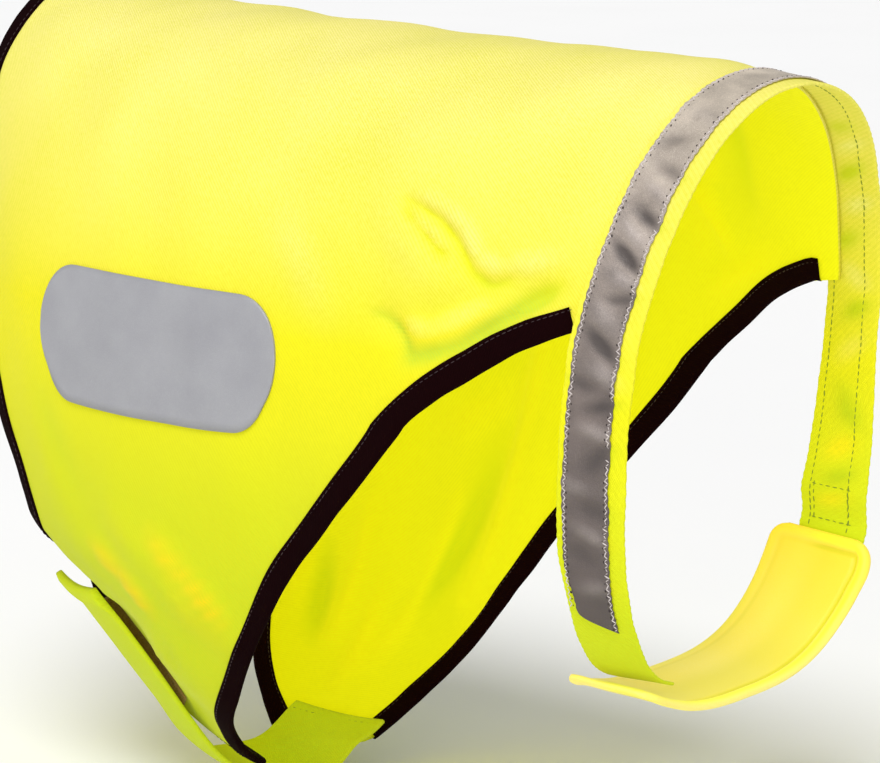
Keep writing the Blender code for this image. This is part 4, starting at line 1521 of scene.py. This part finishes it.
# %% [markdown]
# ## Stitches
# Every seam is a row of short threads that come up and go down again. A modelled grain of thread on
# each stitch catches the light in a way that bump cannot. Geometry Nodes read a polyline that runs
# along the seam, place one grain for each stitch, turn it along the seam and to the cloth, and slant
# every second one the other way for a zig-zag. The rows are kept as polylines with their normals. The
# needle leaves a row of small holes in the tape, which the same tree makes as dark grains of painted
# shade, and a sewn box holds the band's far end.

# %% The stitch tree
def geometry_group(name, inputs):
    """A geometry node group with a mesh in and out and named inputs, and its two end nodes."""
    tree = bpy.data.node_groups.new(name, "GeometryNodeTree")
    add_socket(tree, "Geometry", "INPUT", "NodeSocketGeometry")
    for label, kind, value in inputs:
        add_socket(tree, label, "INPUT", kind, value)
    add_socket(tree, "Geometry", "OUTPUT", "NodeSocketGeometry")
    return tree, tree.nodes.new("NodeGroupInput"), tree.nodes.new("NodeGroupOutput")


def make_stitch_tree():
    """One grain of thread for each stitch along the polylines that come in."""
    tree, into, out = geometry_group("sewn_row", (
        ("Pitch", "NodeSocketFloat", 3.0 * MM),
        ("Stitch", "NodeSocketFloat", 2.3 * MM),
        ("Thread", "NodeSocketFloat", 0.45 * MM),
        ("Slant", "NodeSocketFloat", 0.0),
        ("Unevenness", "NodeSocketFloat", 0.12),
        ("Seed", "NodeSocketInt", 1),
        ("Finish", "NodeSocketMaterial", None),
    ))
    curve = wire(tree, "GeometryNodeMeshToCurve", {"Mesh": into.outputs["Geometry"]})
    spots = wire(
        tree, "GeometryNodeCurveToPoints",
        {"Curve": curve.outputs[0], "Length": into.outputs["Pitch"]}, mode="LENGTH",
    )
    normal = wire(tree, "GeometryNodeInputNamedAttribute", {"Name": "out"}, data_type="FLOAT_VECTOR")
    along = wire(
        tree, "FunctionNodeAlignRotationToVector", {"Vector": spots.outputs["Tangent"]}, axis="X",
    )
    upright = wire(
        tree, "FunctionNodeAlignRotationToVector",
        {"Rotation": along.outputs[0], "Vector": normal.outputs["Attribute"]}, axis="Z", pivot_axis="X",
    )
    index = wire(tree, "GeometryNodeInputIndex", {}).outputs[0]
    side = maths(tree, "MULTIPLY_ADD", maths(tree, "MODULO", index, 2.0), 2.0, -1.0)
    jitter = wire(tree, "FunctionNodeRandomValue", {2: -1.0, 3: 1.0, "Seed": into.outputs["Seed"]})
    turn = maths(tree, "MULTIPLY", side, into.outputs["Slant"])
    turn = maths(tree, "MULTIPLY_ADD", jitter.outputs[1], into.outputs["Unevenness"], turn)
    twist = wire(tree, "FunctionNodeAxisAngleToRotation", {"Axis": (0.0, 0.0, 1.0), "Angle": turn})
    turned = wire(
        tree, "FunctionNodeRotateRotation",
        {"Rotation": upright.outputs[0], "Rotate By": twist.outputs[0]}, rotation_space="LOCAL",
    )
    swell = maths(tree, "MULTIPLY_ADD", jitter.outputs[1], into.outputs["Unevenness"], 1.0)
    half = maths(tree, "MULTIPLY", maths(tree, "MULTIPLY", into.outputs["Stitch"], 0.5), swell)
    thick = maths(tree, "MULTIPLY", maths(tree, "MULTIPLY", into.outputs["Thread"], 0.5), swell)
    size = wire(tree, "ShaderNodeCombineXYZ", {"X": half, "Y": thick, "Z": thick})
    grain = wire(tree, "GeometryNodeMeshUVSphere", {"Segments": 8, "Rings": 6, "Radius": 1.0})
    placed = wire(tree, "GeometryNodeInstanceOnPoints", {
        "Points": spots.outputs["Points"], "Instance": grain.outputs["Mesh"],
        "Rotation": turned.outputs[0], "Scale": size.outputs[0],
    })
    real = wire(tree, "GeometryNodeRealizeInstances", {"Geometry": placed.outputs[0]})
    smoothed = wire(tree, "GeometryNodeSetShadeSmooth", {"Geometry": real.outputs[0]})
    dyed = wire(tree, "GeometryNodeSetMaterial", {
        "Geometry": smoothed.outputs[0], "Material": into.outputs["Finish"],
    })
    tree.links.new(dyed.outputs[0], out.inputs["Geometry"])
    return tree


STITCH_TREE = make_stitch_tree()
print("stitch tree has", len(STITCH_TREE.nodes), "nodes")


# %% Run a tree and keep its result as a plain mesh
def grow(name, base, tree, values):
    """The object that a geometry tree makes from a base object, which is then removed."""
    modifier = base.modifiers.new("grow", "NODES")
    modifier.node_group = tree
    sockets = {s.name: s.identifier for s in tree.interface.items_tree if s.in_out == "INPUT"}
    for label, value in values.items():
        modifier[sockets[label]] = value
    bpy.context.view_layer.update()
    evaluated = base.evaluated_get(bpy.context.evaluated_depsgraph_get())
    mesh = bpy.data.meshes.new_from_object(evaluated)
    mesh.name = name
    piece = bpy.data.objects.new(name, mesh)
    bpy.context.scene.collection.objects.link(piece)
    bpy.data.objects.remove(base)
    return piece


def sew(name, rows, thread, pitch, stitch, thickness, slant=0.0, unevenness=0.12, seed=1):
    """Stitches along rows, each a pair of points and outward normals."""
    verts = np.concatenate([points for points, _ in rows])
    normals = np.concatenate([out for _, out in rows])
    edges, start = [], 0
    for points, _ in rows:
        edges += [(start + i, start + i + 1) for i in range(len(points) - 1)]
        start += len(points)
    mesh = bpy.data.meshes.new(name + "_rows")
    mesh.from_pydata(verts.tolist(), edges, [])
    out = mesh.attributes.new("out", "FLOAT_VECTOR", "POINT")
    out.data.foreach_set("vector", normals.astype(np.float32).ravel())
    base = bpy.data.objects.new(name + "_rows", mesh)
    bpy.context.scene.collection.objects.link(base)
    piece = grow(name, base, STITCH_TREE, {
        "Pitch": pitch, "Stitch": stitch, "Thread": thickness, "Slant": slant,
        "Unevenness": unevenness, "Seed": seed, "Finish": thread,
    })
    print(name, "has", len(piece.data.polygons), "faces")
    return piece


print("a seam is sewn by", STITCH_TREE.name)

# %% Where the seams run
THREAD = 0.5 * MM
SINK = 0.08 * MM


def seam(points, outer):
    """A row's points and normals, from the points and the same points a little further out."""
    out = outer - points
    return points, out / np.linalg.norm(out, axis=-1, keepdims=True)


def band_seam(across, ends, lift, drawn):
    """A row along the band at a place across it, on the outer face above zero, else the inner."""
    angles = np.arange(ends[0], ends[1], 0.5)
    side = 1.0 if lift > 0 else -1.0
    draw = drawn * pucker(angles, (across - TAPE_CENTRE) / (TAPE_WIDTH / 2))
    low = on_band(angles, across, lift + draw)
    return seam(low, on_band(angles, across, lift + draw + side * MM))


def cross_seam(angle, first, last):
    """A row across the band on its inner face, from one place across it to another."""
    across = np.linspace(first, last, 30)
    turned = np.full_like(across, angle)
    return seam(on_band(turned, across, -SINK), on_band(turned, across, -SINK - MM))


def saddle_seam(run, inward, lift):
    """A row along an edge of the saddle, at a distance in from it."""
    flat = inwards(run, np.full(len(run), inward))
    side = 1.0 if lift > 0 else -1.0
    return seam(on_saddle(flat, lift), on_saddle(flat, lift + side * MM))


def strip_seam(edges, start, finish, lift):
    """A row on a ruled strip between two (station, share) places."""
    t = np.linspace(0, 1, 60)
    station = start[0] + (finish[0] - start[0]) * t
    share = start[1] + (finish[1] - start[1]) * t
    side = 1.0 if lift > 0 else -1.0
    return seam(on_strip(edges, station, share, lift), on_strip(edges, station, share, lift + side * MM))


print("thread of", THREAD, "m, sunk", SINK, "m into the cloth")

# %% Sew the tape
TAPE_SEAM_MARGIN = 1.0 * MM
HOLE_MARGIN = 2.0 * MM
TAPE_SEAM_STARTS = {-1: TAPE_ENDS[0] + 0.6, 1: TAPE_ENDS[0] - TAPE_SLANT + 0.8}
TAPE_SEAM_FINISH = TAPE_ENDS[1] - 0.6

tape_top = BAND_WALL + TAPE_GAP + TAPE_WALL
tape_rows = []
hole_rows = []
for side, start in TAPE_SEAM_STARTS.items():
    ends = (start, TAPE_SEAM_FINISH)
    seam_line = TAPE_CENTRE + side * (TAPE_WIDTH / 2 - TAPE_SEAM_MARGIN)
    hole_line = TAPE_CENTRE + side * (TAPE_WIDTH / 2 - HOLE_MARGIN)
    tape_rows.append(band_seam(seam_line, ends, tape_top, 1.0))
    hole_rows.append(band_seam(hole_line, ends, tape_top, 1.0))
tape_stitches = sew(
    "tape_stitches", tape_rows, grey_thread, pitch=1.4 * MM, stitch=2.0 * MM, thickness=0.9 * THREAD,
    slant=math.radians(45), unevenness=0.35, seed=4,
)
# The needle holes are dark grains: painted shade.
tape_holes = sew(
    "tape_needle_holes", hole_rows, needle_hole_shade, pitch=3.0 * MM, stitch=0.9 * MM, thickness=THREAD,
    unevenness=0.4, seed=8,
)

# %% Sew the band's inner face, with the box at its far end
BAND_SEAM_MARGIN = 1.3 * MM
BAND_SEAM_ENDS = (-118, 116)
BAND_SEAM_DRAWN = 0.3
BOX_ANGLES = (106.0, 114.0)
BOX_ACROSS = (-9.0 * MM, 7.0 * MM)

band_rows = []
for side in (-1, 1):
    seam_line = TAPE_CENTRE + side * (TAPE_WIDTH / 2 - BAND_SEAM_MARGIN)
    band_rows.append(band_seam(seam_line, BAND_SEAM_ENDS, -SINK, BAND_SEAM_DRAWN))
band_rows += [band_seam(across, BOX_ANGLES, -SINK, BAND_SEAM_DRAWN) for across in BOX_ACROSS]
band_rows += [cross_seam(angle, *BOX_ACROSS) for angle in BOX_ANGLES]
band_stitches = sew(
    "band_stitches", band_rows, thread_darkened_as_shade, pitch=3.2 * MM, stitch=2.4 * MM, thickness=THREAD,
    unevenness=0.15, seed=7,
)

# %% Sew the binding, on both faces
BINDING_SEAM_MARGIN = 1.6 * MM

binding_below = -(BINDING_GAP + BINDING_WALL + SINK)
binding_above = CLOTH_WALL - binding_below
binding_rows = []
for run in (edge_run, far_leg_run):
    for lift in (binding_above, binding_below):
        binding_rows.append(saddle_seam(run, BINDING_WIDTH - BINDING_SEAM_MARGIN, lift))
binding_stitches = sew(
    "binding_stitches", binding_rows, black_thread, pitch=2.8 * MM, stitch=2.2 * MM, thickness=THREAD,
    unevenness=0.1, seed=11,
)

# %% Sew the strap's two ends
SEWN_END = 0.35
TURNED_END = 9.6

strap_face = STRAP_WALL / 2 + SINK
strap_rows = [
    strip_seam(strap_edges, (SEWN_END, 0.06), (SEWN_END, 0.94), -strap_face),
    strip_seam(strap_edges, (SEWN_END, 0.06), (SEWN_END, 0.94), strap_face),
    strip_seam(strap_edges, (TURNED_END, 0.08), (TURNED_END, 0.92), strap_face),
]
strap_stitches = sew(
    "strap_stitches", strap_rows, thread_darkened_as_shade, pitch=3.0 * MM, stitch=2.3 * MM, thickness=1.1 * THREAD,
    unevenness=0.15, seed=13,
)

# %% [markdown]
# ## The pile
# The soft half of a touch fastener is a felt of fine loops. Short leaning hairs scattered over the
# backing give its fuzzy edge against the yellow, which a bump alone cannot. Geometry Nodes scatter
# them from a fixed seed, and each hair is a cone of a few faces.

# %% Grow the pile
HAIR_TIP = 0.02 * MM
HAIR_MARGIN = 0.01
TOP_ROWS = 20
TOP_COLUMNS = 14


def make_pile_tree():
    """Short hairs scattered on the faces that come in."""
    tree, into, out = geometry_group("fastener_hairs", (
        ("Density", "NodeSocketFloat", 1.4e6),
        ("Hair", "NodeSocketFloat", 1.1 * MM),
        ("Thickness", "NodeSocketFloat", 0.16 * MM),
        ("Lean", "NodeSocketFloat", 0.7),
        ("Seed", "NodeSocketInt", 2),
        ("Finish", "NodeSocketMaterial", None),
    ))
    spots = wire(tree, "GeometryNodeDistributePointsOnFaces", {
        "Mesh": into.outputs["Geometry"], "Density": into.outputs["Density"], "Seed": into.outputs["Seed"],
    })
    lean = wire(
        tree, "FunctionNodeRandomValue",
        {0: (-1.0, -1.0, 0.0), 1: (1.0, 1.0, 6.28), "Seed": into.outputs["Seed"]},
        data_type="FLOAT_VECTOR",
    )
    strength = wire(tree, "ShaderNodeCombineXYZ", {
        "X": into.outputs["Lean"], "Y": into.outputs["Lean"], "Z": 1.0,
    })
    tilt = wire(
        tree, "ShaderNodeVectorMath", {0: lean.outputs[0], 1: strength.outputs[0]}, operation="MULTIPLY",
    )
    twist = wire(tree, "FunctionNodeEulerToRotation", {"Euler": tilt.outputs[0]})
    turned = wire(
        tree, "FunctionNodeRotateRotation",
        {"Rotation": spots.outputs["Rotation"], "Rotate By": twist.outputs[0]}, rotation_space="LOCAL",
    )
    size = wire(tree, "FunctionNodeRandomValue", {2: 0.6, 3: 1.3, "Seed": into.outputs["Seed"]})
    hair = wire(tree, "GeometryNodeMeshCone", {
        "Vertices": 4, "Radius Top": HAIR_TIP,
        "Radius Bottom": into.outputs["Thickness"], "Depth": into.outputs["Hair"],
    })
    placed = wire(tree, "GeometryNodeInstanceOnPoints", {
        "Points": spots.outputs["Points"], "Instance": hair.outputs["Mesh"], "Rotation": turned.outputs[0],
        "Scale": size.outputs[1],
    })
    real = wire(tree, "GeometryNodeRealizeInstances", {"Geometry": placed.outputs[0]})
    dyed = wire(tree, "GeometryNodeSetMaterial", {
        "Geometry": real.outputs[0], "Material": into.outputs["Finish"],
    })
    tree.links.new(dyed.outputs[0], out.inputs["Geometry"])
    return tree


def scatter_base():
    """The pile's top as an open grid that the hairs are scattered on."""
    reach = 0.5 - HAIR_MARGIN
    along = np.linspace(-reach, reach, TOP_ROWS) * PILE_LENGTH
    across = np.linspace(-reach, reach, TOP_COLUMNS) * PILE_WIDTH
    points = on_pile(along[:, None], across[None, :], PILE_WALL + PILE_GAP)
    faces = [face[::-1] for face in grid_faces(TOP_ROWS, TOP_COLUMNS)]
    mesh = bpy.data.meshes.new("pile_top")
    mesh.from_pydata(points.reshape(-1, 3).tolist(), [], faces)
    base = bpy.data.objects.new("pile_top", mesh)
    bpy.context.scene.collection.objects.link(base)
    return base


hairs = grow("fastener_hairs", scatter_base(), make_pile_tree(), {"Seed": 2, "Finish": fastener_pile})
print("pile has", len(hairs.data.polygons), "faces of hair")

# %% [markdown]
# ## Floor and light
# The vest stands alone on white, so the floor is one wide pale disc that runs out of sight. The key
# light comes from above and in front, as from a large softbox far away, so that it is the same over
# the whole floor. A weak fill from behind the camera and to its left opens the shadows. The world is
# paler near the horizon, which hides the floor's end, so no curved backdrop is needed.

# %% Floor
FLOOR_HEIGHT = CAD_BOX[0].z - 2 * MM
FLOOR_RADIUS = 40.0
FLOOR_SIDES = 64
FLOOR_GREY = (0.90, 0.90, 0.90)
FLOOR_PALE = (0.93, 0.93, 0.93)


def make_floor():
    """A wide pale disc under the vest."""
    turn = np.linspace(0, 2 * math.pi, FLOOR_SIDES, endpoint=False)
    x, y = FLOOR_RADIUS * np.cos(turn), FLOOR_RADIUS * np.sin(turn)
    verts = np.stack([x, y, np.full_like(x, FLOOR_HEIGHT)], axis=-1)
    material, tree, shader = blank_material("pale_floor", FLOOR_GREY, 0.9)
    place = wire(tree, "ShaderNodeTexCoord", {}).outputs["Object"]
    grain = wire(tree, "ShaderNodeTexNoise", {"Vector": place, "Scale": 3.0, "Detail": 2.0})
    colour = mix_colours(tree, grain.outputs["Fac"], FLOOR_GREY, FLOOR_PALE)
    tree.links.new(colour, shader.inputs["Base Color"])
    shader.inputs["Specular IOR Level"].default_value = 0.0
    return link_mesh("pale_floor", verts, [list(range(FLOOR_SIDES))], verts[:, :2], material)


floor = make_floor()
print("floor at", round(FLOOR_HEIGHT, 3), "m")

# %% Light
KEY_FROM = Vector((0.25, -0.55, 1.0))
KEY_STRENGTH = 2.1
KEY_SPREAD = math.radians(28)
key_data = bpy.data.lights.new("key_softbox", "SUN")
key_data.energy = KEY_STRENGTH
key_data.angle = KEY_SPREAD
key = bpy.data.objects.new("key_softbox", key_data)
key.rotation_mode = "QUATERNION"
key.rotation_quaternion = (-KEY_FROM).to_track_quat("-Z", "Y")
bpy.context.scene.collection.objects.link(key)

FILL_FROM = Vector((0.9, -2.3, 0.15))
FILL_SIZE = 1.6
FILL_WATTS = 17.0
fill_data = bpy.data.lights.new("front_fill", "AREA")
fill_data.size = FILL_SIZE
fill_data.energy = FILL_WATTS
fill = bpy.data.objects.new("front_fill", fill_data)
fill.location = FILL_FROM
fill.rotation_mode = "QUATERNION"
fill.rotation_quaternion = (CAMERA_TARGET - FILL_FROM).to_track_quat("-Z", "Y")
bpy.context.scene.collection.objects.link(fill)

HORIZON = (1.0, 1.0, 1.0)
OVERHEAD = (0.44, 0.44, 0.44)
HORIZON_RISE = 0.02
OVERHEAD_RISE = 0.3
world = bpy.data.worlds.new("studio")
world.use_nodes = True
sky = world.node_tree
direction = wire(sky, "ShaderNodeTexCoord", {}).outputs["Generated"]
height = wire(sky, "ShaderNodeSeparateXYZ", {0: direction}).outputs["Z"]
above = wire(sky, "ShaderNodeMapRange", {
    "Value": height, "From Min": HORIZON_RISE, "From Max": OVERHEAD_RISE,
})
pale = mix_colours(sky, above.outputs["Result"], HORIZON, OVERHEAD)
sky.links.new(pale, sky.nodes["Background"].inputs["Color"])
bpy.context.scene.world = world
print("key of", KEY_STRENGTH, "and fill of", FILL_WATTS, "W")

# %% [markdown]
# ## Attach the pieces
# Every piece rides on the one body, and the solid that it stands for is hidden.

# %% Bodies and solids
PIECES = (
    (saddle, "saddle", "yellow_cloth"),
    (edge_binding, "edge_binding", "black_binding"),
    (far_leg_binding, "far_leg_binding", "black_binding"),
    (band, "neck_band", "yellow_webbing"),
    (tape, "reflective_tape", "reflective_tape"),
    (pad, "neck_closure_pad", "fastener_pad"),
    (strap, "belly_strap", "yellow_webbing"),
    (pile, "belly_fastener_pile", "fastener_pile"),
    (patch, "reflective_patch", "reflective_patch"),
)
TRIMS = (
    (tape_stitches, "reflective_tape"),
    (tape_holes, "reflective_tape"),
    (band_stitches, "yellow_webbing"),
    (binding_stitches, "black_binding"),
    (strap_stitches, "yellow_webbing"),
    (hairs, "fastener_pile"),
)
for piece, node, finish in PIECES:
    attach(piece, "root")
    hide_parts(node)
for piece, finish in TRIMS:
    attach(piece, "root")
floor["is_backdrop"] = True
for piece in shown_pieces():
    print(piece.name, len(piece.data.polygons), "faces")
